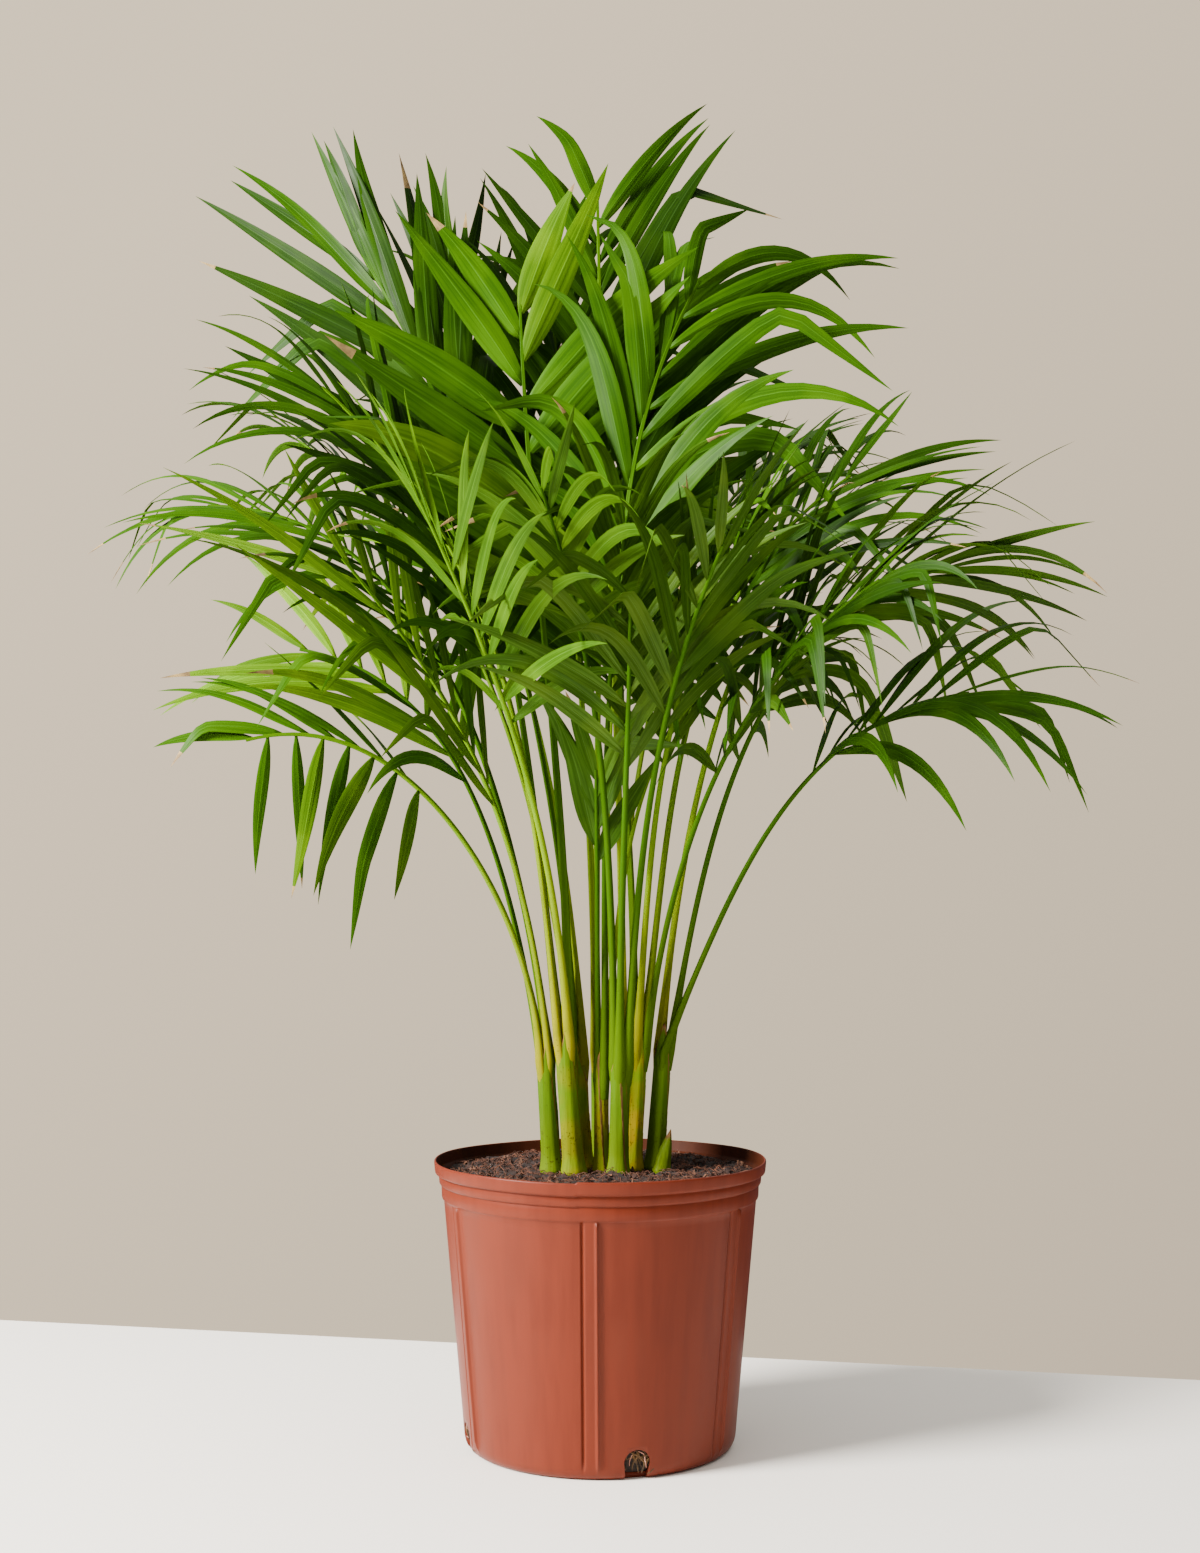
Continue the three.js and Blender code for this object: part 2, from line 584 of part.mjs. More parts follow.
function addNode(name, shape, color, roughness) {
  const material = new THREE.MeshStandardMaterial({ color, roughness, metalness: 0 });
  const mesh = new THREE.Mesh(geometry(shape), material);
  mesh.name = name;
  palm.add(mesh);
}

addNode("pot", potShape(), 0xa9563f, 0.5);
addNode("soil", soilShape(), 0x3d2c22, 0.95);
for (const [name, shoot] of Object.entries(shoots)) {
  addNode("shoot_" + name, shootShape(shoot), 0x9aab2e, 0.5);
}
addNode("shoot_stub", shootShape(stub), 0x8f8a3a, 0.7);
for (const plan of plans) {
  const last = plan.stops.length - 1;
  if (plan.frond.split) {
    const stalk = { ...plan, sections: plan.sections.map((s) => s) };
    const { along } = onLine(plan.line, plan.frond.bare);
    stalk.sections[stalkPieces] = plan.sections[stalkPieces].map((p) => add(p, along, -stemClearance));
    addNode("stalk_" + plan.frond.name, frondShape(stalk, 0, stalkPieces), 0x86a83a, 0.5);
    addNode("frond_" + plan.frond.name, frondShape(plan, stalkPieces, last), 0x4f7f2a, 0.5);
  } else {
    addNode("frond_" + plan.frond.name, frondShape(plan, 0, last), 0x4f7f2a, 0.5);
  }
}

export default palm;
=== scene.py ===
import math
import bpy
import numpy as np
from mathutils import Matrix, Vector, noise


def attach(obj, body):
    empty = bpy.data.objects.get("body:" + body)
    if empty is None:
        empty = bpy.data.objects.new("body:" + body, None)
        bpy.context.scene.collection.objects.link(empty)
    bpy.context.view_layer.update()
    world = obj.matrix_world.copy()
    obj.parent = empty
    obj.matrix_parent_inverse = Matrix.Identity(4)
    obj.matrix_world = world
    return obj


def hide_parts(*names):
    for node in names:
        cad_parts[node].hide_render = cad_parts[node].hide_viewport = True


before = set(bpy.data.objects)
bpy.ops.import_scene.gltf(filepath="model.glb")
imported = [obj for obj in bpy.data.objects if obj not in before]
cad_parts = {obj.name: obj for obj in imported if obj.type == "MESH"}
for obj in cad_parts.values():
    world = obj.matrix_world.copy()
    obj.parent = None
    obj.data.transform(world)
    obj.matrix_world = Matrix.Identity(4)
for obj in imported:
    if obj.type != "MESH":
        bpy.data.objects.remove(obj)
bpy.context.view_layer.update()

mm = 0.001
fullTurn = 2 * math.pi


# Directions, curves and chance
def unit(v):
    return v / np.linalg.norm(v)


def aim(way, climb=0):  # the direction that has this heading and climb, in degrees
    a, c = math.radians(way), math.radians(climb)
    return np.array([math.cos(a) * math.cos(c), math.sin(a) * math.cos(c), math.sin(c)])


def turn(a, b, angle):  # a turned towards b
    return a * math.cos(math.radians(angle)) + b * math.sin(math.radians(angle))


def chance(frond, leaflet, use):  # a number from 0 to 1, always the same for the same three
    h = ((frond + 1) * 73856093 ^ (leaflet + 1) * 19349663 ^ (use + 1) * 83492791) & 0xFFFFFFFF
    h = ((h ^ (h >> 16)) * 2246822507) & 0xFFFFFFFF
    h = ((h ^ (h >> 13)) * 3266489909) & 0xFFFFFFFF
    return (h ^ (h >> 16)) / 4294967296


def smooth(low, high, x):  # from 0 to 1, with soft ends
    t = np.clip((x - low) / (high - low), 0, 1)
    return t * t * (3 - 2 * t)


def bell(x, width):  # 1 in the middle, nothing further out
    return np.exp(-((x / width) ** 2))


def waves(parts, angles):  # each part has its size, its number of waves and its start
    return sum(size * np.sin(count * angles + start) for size, count, start in parts)


def evenAngles(count):
    return np.linspace(0, fullTurn, count, endpoint=False)


def awayFrom(way, angles):  # how far round from one angle the others are
    return (angles - way + math.pi) % fullTurn - math.pi


# Small helpers for node trees
def node(tree, kind, inputs=None, **props):
    made = tree.nodes.new(kind)
    for key, value in props.items():
        setattr(made, key, value)
    for key, value in (inputs or {}).items():
        if isinstance(value, bpy.types.NodeSocket):
            tree.links.new(value, made.inputs[key])
        else:
            made.inputs[key].default_value = value
    return made


def treeOf(*values):  # the tree that the first socket among these belongs to
    return next(value.id_data for value in values if isinstance(value, bpy.types.NodeSocket))


def calc(operation, a, b=0.5):
    return node(treeOf(a, b), "ShaderNodeMath", {0: a, 1: b}, operation=operation).outputs[0]


def times(a, b):
    return calc("MULTIPLY", a, b)


def vectorCalc(operation, a, b):
    return node(treeOf(a, b), "ShaderNodeVectorMath", {0: a, 1: b}, operation=operation).outputs[0]


def mixColour(share, a, b, blend="MIX"):
    values = {0: share, 6: a, 7: b}
    return node(treeOf(share, a, b), "ShaderNodeMix", values, data_type="RGBA", blend_type=blend).outputs[2]


def remap(value, low, high, toLow=0.0, toHigh=1.0):
    values = {0: value, 1: low, 2: high, 3: toLow, 4: toHigh}
    return node(value.id_data, "ShaderNodeMapRange", values).outputs[0]


def noiseAt(place, scale, detail):
    values = {"Vector": place, "Scale": scale, "Detail": detail}
    return node(place.id_data, "ShaderNodeTexNoise", values).outputs[0]


def objectPlace(tree):
    return node(tree, "ShaderNodeTexCoord").outputs["Object"]


def linear(colour):  # an sRGB colour from 0 to 255 as the shader's linear one
    shares = [c / 255 for c in colour]
    return tuple(s / 12.92 if s <= 0.04045 else ((s + 0.055) / 1.055) ** 2.4 for s in shares)


def paint(colour):
    return (*linear(colour), 1)


def ramp(share, stops):  # places from 0 to 1, each with its sRGB colour
    made = node(share.id_data, "ShaderNodeValToRGB", {0: share})
    points = made.color_ramp.elements
    while len(points) < len(stops):
        points.new(0.5)
    for point, (place, colour) in zip(points, stops.items()):
        point.position = place
        point.color = paint(colour)
    return made.outputs[0]


def bump(height, strength, distance):
    values = {"Height": height, "Strength": strength, "Distance": distance}
    return node(height.id_data, "ShaderNodeBump", values).outputs["Normal"]


def wire(target, values):
    for label, value in values.items():
        target.id_data.links.new(value, target.inputs[label])


def newMaterial(name, roughness=0.5, gloss=0.5):
    made = bpy.data.materials.new(name)
    made.use_nodes = True
    shader = made.node_tree.nodes["Principled BSDF"]
    shader.inputs["Roughness"].default_value = roughness
    shader.inputs["Specular IOR Level"].default_value = gloss
    return made, shader


def newGroup(name, kind, inputs, outputs):
    tree = bpy.data.node_groups.new(name, kind)
    for label, socket, *value in inputs:
        made = tree.interface.new_socket(label, in_out="INPUT", socket_type="NodeSocket" + socket)
        if value:
            made.default_value = value[0]
    for label, socket in outputs:
        tree.interface.new_socket(label, in_out="OUTPUT", socket_type="NodeSocket" + socket)
    return tree, tree.nodes.new("NodeGroupInput").outputs, tree.nodes.new("NodeGroupOutput")


def newEffect(name, *inputs):  # a shader group that gives the colour, height and roughness of a surface
    outputs = [("Colour", "Color"), ("Height", "Float"), ("Roughness", "Float")]
    return newGroup(name, "ShaderNodeTree", inputs, outputs)


def newShapeTree(name, *sizes):
    inputs = [("Geometry", "Geometry"), *sizes, ("Material", "Material")]
    return newGroup(name, "GeometryNodeTree", inputs, [("Geometry", "Geometry")])


def closeShapeTree(tree, given, out, shape):
    real = node(tree, "GeometryNodeRealizeInstances", {0: shape}).outputs[0]
    done = node(tree, "GeometryNodeSetMaterial", {"Geometry": real, "Material": given["Material"]})
    tree.links.new(done.outputs[0], out.inputs[0])
    return tree


# The photograph's frame in pixels, its camera's place in metres, and the sensor's width in millimetres
photoView = {
    "rows": 1553, "lensPixels": 2169, "horizonRow": 839, "distance": 1.665, "height": 0.463, "sensor": 36,
}


def addToScene(name, data):
    made = bpy.data.objects.new(name, data)
    bpy.context.scene.collection.objects.link(made)
    return made


def addCamera():
    data = bpy.data.cameras.new("camera")
    data.sensor_width = photoView["sensor"]
    data.lens = data.sensor_width * photoView["lensPixels"] / photoView["rows"]
    data.shift_y = photoView["horizonRow"] / photoView["rows"] - 0.5
    camera = addToScene("camera", data)
    camera.location = (0, -photoView["distance"], photoView["height"])
    camera.rotation_euler = (math.pi / 2, 0, 0)
    bpy.context.scene.camera = camera


# The table top is pale; its back edge runs a little askew behind the pot. Sizes in metres.
tableTop = {
    "behind": 0.3, "turn": -12, "width": 3.2, "depth": 2.6, "thick": 0.03, "colour": (0.99, 0.94, 0.865),
    "dimmer": 0.985, "cloudScale": 6.0,
}


def addTable():
    half, deep = tableTop["width"] / 2, tableTop["depth"]
    a = math.radians(tableTop["turn"])
    places = [
        (x * math.cos(a) - y * math.sin(a), x * math.sin(a) + y * math.cos(a) + tableTop["behind"], z)
        for z in (-tableTop["thick"], 0)
        for x, y in ((-half, -deep), (half, -deep), (half, 0), (-half, 0))
    ]
    faces = [(3, 2, 1, 0), (4, 5, 6, 7)] + [(i, (i + 1) % 4, (i + 1) % 4 + 4, i + 4) for i in range(4)]
    mesh = bpy.data.meshes.new("table_top")
    mesh.from_pydata(places, [], faces)
    material, shader = newMaterial("paleTable", 0.55)
    cloud = noiseAt(objectPlace(shader.id_data), tableTop["cloudScale"], 3.0)
    pale = (*tableTop["colour"], 1)
    dim = (*(c * tableTop["dimmer"] for c in tableTop["colour"]), 1)
    wire(shader, {"Base Color": mixColour(cloud, pale, dim)})
    mesh.materials.append(material)
    addToScene("table_top", mesh)


# Places and sizes in metres. The key lamp stands high on the left.
lamps = {
    "key": {"at": (-2.15, -1.1, 1.7), "aim": (0, 0, 0.45), "size": 1, "watts": 380, "tint": (1, 0.97, 0.92)},
    "fill": {"at": (1.9, -1.4, 1.1), "aim": (0, 0, 0.5), "size": 1.6, "watts": 0.5, "tint": (0.75, 0.9, 1)},
}
# What the camera sees behind the palm, lit to shaded, and the soft room light from around and above
room = {
    "lit": (1.22, 1.0, 0.72, 1), "shaded": (0.78, 0.64, 0.47, 1), "across": 0.8, "down": 0.7,
    "fade": (-0.35, 0.45), "around": (0.09, 0.098, 0.11, 1), "above": (1.38, 1.33, 1.25, 1),
    "rise": (0.15, 0.95),
}


def addLight():
    for name, lamp in lamps.items():
        data = bpy.data.lights.new(name, "AREA")
        data.shape = "DISK"
        data.size = lamp["size"]
        data.energy = lamp["watts"]
        data.color = lamp["tint"]
        made = addToScene(name, data)
        made.location = lamp["at"]
        made.rotation_euler = (Vector(lamp["aim"]) - Vector(lamp["at"])).to_track_quat("-Z", "Y").to_euler()
    world = bpy.data.worlds.new("studio")
    world.use_nodes = True
    tree = world.node_tree
    ray = node(tree, "ShaderNodeTexCoord").outputs["Generated"]
    way = node(tree, "ShaderNodeSeparateXYZ", {0: ray}).outputs
    across = calc("SUBTRACT", times(way[0], room["across"]), times(way[2], room["down"]))
    seen = mixColour(remap(across, *room["fade"]), room["lit"], room["shaded"])
    glow = mixColour(remap(way[2], *room["rise"]), room["around"], room["above"])
    direct = node(tree, "ShaderNodeLightPath").outputs["Is Camera Ray"]
    wire(tree.nodes["Background"], {"Color": mixColour(direct, glow, seen)})
    bpy.context.scene.world = world


# Meshes
def newMesh(name, points, faces, materials, indices=None, uv=None):
    mesh = bpy.data.meshes.new(name)
    mesh.from_pydata(points, [], faces)
    for material in materials:
        mesh.materials.append(material)
    mesh.polygons.foreach_set("use_smooth", np.ones(len(mesh.polygons), bool))
    if indices is not None:
        mesh.polygons.foreach_set("material_index", indices)
    if uv is not None:
        corner = np.zeros(len(mesh.loops), int)
        mesh.loops.foreach_get("vertex_index", corner)
        spots = np.asarray(uv, np.float32)[corner].ravel()
        mesh.uv_layers.new(name="placeMap").uv.foreach_set("vector", spots)
    mesh.update()
    return addToScene(name, mesh)


def setAttribute(obj, name, values):  # one number or one vector for every point
    values = np.asarray(values, np.float32)
    kind, field = ("FLOAT", "value") if values.ndim == 1 else ("FLOAT_VECTOR", "vector")
    obj.data.attributes.new(name, kind, "POINT").data.foreach_set(field, values.ravel())


def newPaths(name, lines, attributes):  # bent lines in millimetres, for a tree that gives them their section
    edges, count = [], 0
    for line in lines:
        edges += [(i, i + 1) for i in range(count, count + len(line) - 1)]
        count += len(line)
    mesh = bpy.data.meshes.new(name)
    mesh.from_pydata((np.vstack(lines) * mm).tolist(), edges, [])
    obj = addToScene(name, mesh)
    for label, values in attributes.items():
        setAttribute(obj, label, values)
    return obj


def loft(rings):  # rings of points in millimetres, anticlockwise from above, as a closed skin in metres
    rings = np.array(rings) * mm
    count, around = rings.shape[:2]
    points = rings.reshape(-1, 3).tolist()
    faces = []
    for r in range(count - 1):
        for i in range(around):
            a, b = r * around + i, r * around + (i + 1) % around
            faces.append((a, b, b + around, a + around))
    for ring, order in ((0, -1), (count - 1, 1)):
        middle = len(points)
        points.append(rings[ring].mean(0).tolist())
        for i in range(around):
            pair = (ring * around + i, ring * around + (i + 1) % around)[::order]
            faces.append((*pair, middle))
    return points, faces


def baked(obj):  # the evaluated object as a plain mesh in its place, with its modifiers gone
    depsgraph = bpy.context.evaluated_depsgraph_get()
    mesh = bpy.data.meshes.new_from_object(obj.evaluated_get(depsgraph))
    obj.modifiers.clear()
    obj.data = mesh
    return obj


def grow(obj, tree, values):  # runs a geometry tree with its named sizes and keeps the result as the mesh
    modifier = obj.modifiers.new(tree.name, "NODES")
    modifier.node_group = tree
    for item in tree.interface.items_tree:
        if item.item_type == "SOCKET" and item.in_out == "INPUT" and item.name in values:
            modifier[item.identifier] = values[item.name]
    return baked(obj)


def place(obj, slot, *nodes):
    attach(obj, "root")
    if nodes:
        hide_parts(*nodes)
    return obj


# Pot sizes in millimetres
pot = {
    "height": 218, "rim": 127, "band": 123.4, "wallTop": 119.5, "wallFoot": 104, "foot": 96, "wall": 2.2,
    "floor": 4, "around": 300, "wallRows": (10, 188.6, 36), "wallRise": 179, "fade": (6, 14),
}
# Steps out from a radius named above, and up from the floor or, from the lip on, from the pot's height
potSteps = {
    "foot": [(0, 0), (3, 0.7), (5.6, 2.6)],
    "bands": [
        (-3.3, 189.4), (-2.6, 190), (-2.3, 191), (-2, 199.2), (-2.3, 199.8), (-2.2, 200.5), (-0.8, 200.9),
        (-0.4, 201.7), (0, 207), (-0.3, 207.6), (-0.1, 208.3),
    ],
    "underRim": [(-1.5, 208.7), (-0.9, 209.2), (-0.6, 210.4)],
    "lip": [(0, -1.5), (-0.1, -0.7), (-0.5, -0.2), (-1, 0)],
    "lipInside": [(-1.6, -0.2), (-2, -1), (-2.7, -8), (-3.4, -9.4)],
    "bandsInside": [(-2, -10), (-2.4, -16), (-3.4, -17.4), (-4.4, -18)],
}
upright = {
    "count": 6, "firstAngle": -93.7, "apart": 5.3, "groove": 2.3, "ridge": 2, "width": 1.1, "flat": 0.6,
    "flatFrom": (-8, -5.4), "flatTo": (6.5, 10), "reach": 11, "columns": 43,
}
seam = {"angle": -124, "rise": 0.25, "width": 0.6}
# The soft pot is never quite round nor level, and its rim has a nick in front
uneven = {
    "wall": [(0.25, 2, 0.6), (0.18, 3, 2)], "rim": [(0.5, 2, 1.1), (0.3, 5, 0), (-1.1, 1, 0)], "rimDrop": 0.3,
    "onlyHigh": 8, "nickAngle": -98.3, "nickLift": 1.1, "nickEdge": 0.02, "nickLength": 0.8,
}
hole = {
    "count": 4, "firstAngle": -75, "radius": 9.8, "height": 12.8, "sides": 32, "foot": -1.5,
    "flatBelow": -0.45, "depth": 9,
}


def potOutline():  # radius, height and kind: 0 outside, 1 the wall that carries the uprights, 2 inside
    band, rim, wallFoot, high = pot["band"], pot["rim"], pot["wallFoot"], pot["height"]
    slope = (pot["wallTop"] - wallFoot) / pot["wallRise"]
    wall = [(slope * (z - pot["wallRows"][0]), z) for z in np.linspace(*pot["wallRows"])]
    stretches = [
        (pot["foot"], 0, 0, potSteps["foot"]), (wallFoot, 0, 0, [(-1, 5.6)]), (wallFoot, 0, 1, [(-0.3, 8)]),
        (wallFoot, 0, 1, wall), (band, 0, 0, potSteps["bands"]), (rim, 0, 0, potSteps["underRim"]),
        (rim, high, 0, potSteps["lip"]), (rim, high, 2, potSteps["lipInside"]),
        (band, high, 2, potSteps["bandsInside"]), (pot["wallTop"] - pot["wall"], 0, 2, [(0, 189)]),
        (wallFoot - pot["wall"], 0, 2, [(0, 12)]), (pot["foot"], 0, 2, [(0, pot["floor"])]),
    ]
    rows = [(radius + out, low + up, kind) for radius, low, kind, steps in stretches for out, up in steps]
    return np.array(rows, float)


def uprightRise(side):  # a groove, a flat band and a ridge, by millimetres from the upright's middle
    groove = -upright["groove"] * bell(side + upright["apart"], upright["width"])
    ridge = upright["ridge"] * bell(side - upright["apart"], upright["width"])
    flat = upright["flat"] * (smooth(*upright["flatFrom"], side) - smooth(*upright["flatTo"], side))
    return (np.abs(side) < upright["reach"]) * (groove + ridge + flat)


def makePot(materials):
    rows = potOutline()
    ways = np.radians([upright["firstAngle"] + 360 / upright["count"] * i for i in range(upright["count"])])
    close = np.linspace(-upright["reach"], upright["reach"], upright["columns"]) / pot["wallTop"]
    angles = np.concatenate([evenAngles(pot["around"])] + [way + close for way in ways])
    angles = np.unique(np.round(angles % fullTurn, 5))
    radius = np.repeat(rows[:, :1], len(angles), 1)
    height = np.repeat(rows[:, 1:2], len(angles), 1)
    fade = (smooth(*pot["fade"], rows[:, 1]) * (rows[:, 2] == 1))[:, None]
    for way in ways:
        radius += fade * uprightRise(awayFrom(way, angles) * rows[:, :1])
    besideSeam = awayFrom(math.radians(seam["angle"]), angles) * rows[:, :1]
    radius += fade * seam["rise"] * bell(besideSeam, seam["width"])
    upTo = (rows[:, 1] / pot["height"])[:, None]
    radius += waves(uneven["wall"], angles) * upTo
    past = awayFrom(math.radians(uneven["nickAngle"]), angles)
    nick = uneven["nickLift"] * smooth(0, uneven["nickEdge"], past) * bell(past, uneven["nickLength"])
    lift = waves(uneven["rim"], angles) - uneven["rimDrop"] + nick
    height += upTo ** uneven["onlyHigh"] * lift[None, :]
    points, faces = loft(np.stack([radius * np.cos(angles), radius * np.sin(angles), height], -1))
    inside = [int(rows[min(i // len(angles), len(rows) - 1), 2] == 2) for i in range(len(faces))]
    obj = newMesh("pot_shell", points, faces, materials, inside)
    cutters = [makeHoleCutter(i) for i in range(hole["count"])]
    for cutter in cutters:
        modifier = obj.modifiers.new("drain", "BOOLEAN")
        modifier.operation = "DIFFERENCE"
        modifier.object = cutter
        modifier.solver = "EXACT"
    baked(obj)
    for cutter in cutters:
        bpy.data.objects.remove(cutter)
    place(obj, "pot", "pot")


def holeAt(index, depth):  # a hole's middle that far out of the wall's foot, and the way across it
    way = hole["firstAngle"] + 360 / hole["count"] * index
    middle = aim(way) * (pot["wallFoot"] + depth) + np.array([0, 0, hole["height"]])
    return middle, aim(way + 90)


def makeHoleCutter(index):
    a = evenAngles(hole["sides"])[:, None]
    drop = hole["foot"] - hole["height"]
    tall = np.array([0, 0, 1]) * np.where(np.sin(a) < hole["flatBelow"], drop, hole["radius"] * np.sin(a))
    rings = []
    for depth in (-hole["depth"], hole["depth"]):
        middle, across = holeAt(index, depth)
        rings.append(middle + across * hole["radius"] * np.cos(a) + tall)
    points, faces = loft(rings)
    return newMesh(f"hole_cutter_{index}", points, faces, [])


# The mix fills the pot: a rough top, and a side that shows only in the drain holes
soil = {
    "top": 209, "edgeDrop": 1.5, "flat": 62, "clear": 0.4, "reach": pot["band"] - 2.8, "around": 220,
    "rings": 62, "wallRows": 12, "sink": 0.6, "calmEdge": 14, "calm": 0.5,
    "rough": [  # how far apart the lumps are, how high, and the noise's slice, roughness and step
        {"apart": 24, "rise": 4, "slice": 3.1, "fine": 0.9, "step": 2.1},
        {"apart": 6.5, "rise": 1.5, "slice": 7.7, "fine": 0.8, "step": 2.2},
    ],
}


def soilHeight(x, y):
    radius, reach = math.hypot(x, y), soil["reach"]
    base = soil["top"] - soil["edgeDrop"] * float(smooth(soil["flat"], reach, radius))
    rough = 0
    for lump in soil["rough"]:
        spot = Vector((x / lump["apart"], y / lump["apart"], lump["slice"]))
        rough += noise.fractal(spot, lump["fine"], lump["step"], 3) * lump["rise"]
    edge = 1 - float(smooth(reach - soil["calmEdge"], reach, radius)) * soil["calm"]
    return base + rough * edge - soil["sink"]


def makeSoil(material):
    inner = pot["wallFoot"] - pot["wall"] - soil["clear"]
    wider = pot["wallTop"] - pot["wall"] - soil["clear"] - inner
    top = soil["reach"]
    rows = [(pot["foot"] - 1.2, pot["floor"]), (inner - 0.4, 12)]
    rows += [(inner + wider * (z - 12) / 177, z) for z in np.linspace(14, 189, soil["wallRows"])]
    rows += [(top - 2.2, 199.6), (top - 0.4, 202.6), (top, soil["top"] - soil["edgeDrop"] - 2)]
    rows += [(top * share, None) for share in np.linspace(0.995, 0.01, soil["rings"])]
    rings = []
    for radius, height in rows:
        spots = [(radius * math.cos(a), radius * math.sin(a)) for a in evenAngles(soil["around"])]
        rings.append([(x, y, soilHeight(x, y) if height is None else height) for x, y in spots])
    points, faces = loft(rings)
    place(newMesh("mix_body", points, faces, [material]), "mix", "soil")


# What lies on the mix is scattered by one tree: sizes in millimetres, density to the square metre
grains = {
    "mix_crumbs": {"Density": 90000.0, "Smallest": 0.45, "Largest": 1.5, "Flatness": 0.7, "Seed": 3},
    "mix_clods": {"Density": 5000.0, "Smallest": 1.6, "Largest": 4.6, "Flatness": 0.7, "Seed": 8},
    "mix_bark": {"Density": 3000.0, "Smallest": 1.6, "Largest": 5.2, "Flatness": 0.26, "Seed": 5},
    "mix_white_grit": {"Density": 700.0, "Smallest": 0.4, "Largest": 1.1, "Flatness": 0.85, "Seed": 12},
}
grainShape = {"spin": 6.28, "rippleScale": 900.0, "ripple": 0.9, "margin": 2, "patchSteps": 60}


def scatterTree():
    tree, given, out = newShapeTree(
        "scatteredGrains", ("Density", "Float", 20000.0), ("Smallest", "Float", 0.001),
        ("Largest", "Float", 0.002), ("Flatness", "Float", 0.6), ("Seed", "Int", 1))
    seed = given["Seed"]
    spots = node(tree, "GeometryNodeDistributePointsOnFaces", {
        "Mesh": given["Geometry"], "Density": given["Density"], "Seed": seed})
    grain = node(tree, "GeometryNodeMeshIcoSphere", {"Radius": 1.0, "Subdivisions": 1}).outputs[0]
    angle = node(tree, "FunctionNodeRandomValue", {0: (0, 0, 0), 1: [grainShape["spin"]] * 3, "Seed": seed},
                 data_type="FLOAT_VECTOR").outputs[0]
    size = node(tree, "FunctionNodeRandomValue", {2: given["Smallest"], 3: given["Largest"], "Seed": seed},
                data_type="FLOAT").outputs[1]
    thin = times(size, given["Flatness"])
    scale = node(tree, "ShaderNodeCombineXYZ", {0: size, 1: thin, 2: thin}).outputs[0]
    turned = node(tree, "FunctionNodeEulerToRotation", {0: angle}).outputs[0]
    laid = node(tree, "GeometryNodeInstanceOnPoints", {
        "Points": spots.outputs["Points"], "Instance": grain, "Rotation": turned, "Scale": scale}).outputs[0]
    real = node(tree, "GeometryNodeRealizeInstances", {0: laid}).outputs[0]
    ripple = node(tree, "ShaderNodeTexNoise", {"Scale": grainShape["rippleScale"], "Detail": 1.0}).outputs[1]
    centred = vectorCalc("ADD", ripple, (-0.5, -0.5, -0.5))
    amount = times(given["Largest"], grainShape["ripple"])
    push = node(tree, "ShaderNodeVectorMath", {0: centred, "Scale": amount}, operation="SCALE").outputs[0]
    moved = node(tree, "GeometryNodeSetPosition", {"Geometry": real, "Offset": push}).outputs[0]
    return closeShapeTree(tree, given, out, moved)


def soilPatch():  # the part of the mix's top that carries grains
    reach, steps = soil["reach"] - 2, grainShape["patchSteps"]
    grid = np.linspace(-reach, reach, steps)
    points = [(x * mm, y * mm, soilHeight(x, y) * mm) for y in grid for x in grid]
    faces = []
    for r in range(steps - 1):
        for i in range(steps - 1):
            a = r * steps + i
            if math.hypot(grid[r] + grid[1] / 2 - grid[0] / 2, grid[i]) < reach - grainShape["margin"]:
                faces.append((a, a + 1, a + 1 + steps, a + steps))
    return newMesh("soil_patch", points, faces, [])


def makeGrains(materials):
    tree, ground = scatterTree(), soilPatch()
    for name, sizes in grains.items():
        values = {**sizes, "Material": materials[name]}
        for size in ("Smallest", "Largest"):
            values[size] *= mm
        place(grow(addToScene(name, ground.data.copy()), tree, values), "mix")
    bpy.data.objects.remove(ground)


# Threads are short bent paths with a round section: fibres in the mix, and the roots in the drain holes
fibre = {
    "count": 1300, "reach": 112, "bend": 24, "points": 6, "bowed": (2, 3), "bow": 1.6, "clear": 0.5,
    "float": 0.7, "step": (1.2, 2.4), "thick": (0.2, 0.3),
}
roots = {
    "hole_roots": {
        "seed": 4, "count": 34, "depth": (-3.4, -1.6), "deepest": -1, "thick": (0.5, 1.1), "sides": 6,
        "whole": True},
    "hole_roots_pale": {
        "seed": 9, "count": 3, "depth": (-2.4, -0.2), "deepest": 0.6, "thick": (0.3, 0.5), "sides": 4,
        "whole": False},
}
rootWalk = {
    "spread": 9.5, "rising": (60, 120), "risingShare": 0.7, "points": 7, "step": 2.6, "wander": 16,
    "sink": 0.3, "tall": 11.5, "opening": (10, 10.8),
}
threadTaper = 0.6


def tubeOn(tree, given, out, path, section, half):  # a section drawn along a path, capped and soft
    tube = node(tree, "GeometryNodeCurveToMesh", {0: path, 1: section, 2: half, 3: True}).outputs[0]
    soft = node(tree, "GeometryNodeSetShadeSmooth", {0: tube}).outputs[0]
    return closeShapeTree(tree, given, out, soft)


def pathAndCircle(tree, given):
    path = node(tree, "GeometryNodeMeshToCurve", {0: given["Geometry"]}).outputs[0]
    sizes = {"Resolution": given["Sides"], "Radius": 1.0}
    return path, node(tree, "GeometryNodeCurvePrimitiveCircle", sizes).outputs[0]


def namedValue(tree, name, kind="FLOAT"):
    return node(tree, "GeometryNodeInputNamedAttribute", {0: name}, data_type=kind).outputs[0]


def threadTree():
    tree, given, out = newShapeTree("threadsOnPaths", ("Sides", "Int", 4))
    path, circle = pathAndCircle(tree, given)
    return tubeOn(tree, given, out, path, circle, namedValue(tree, "thick"))


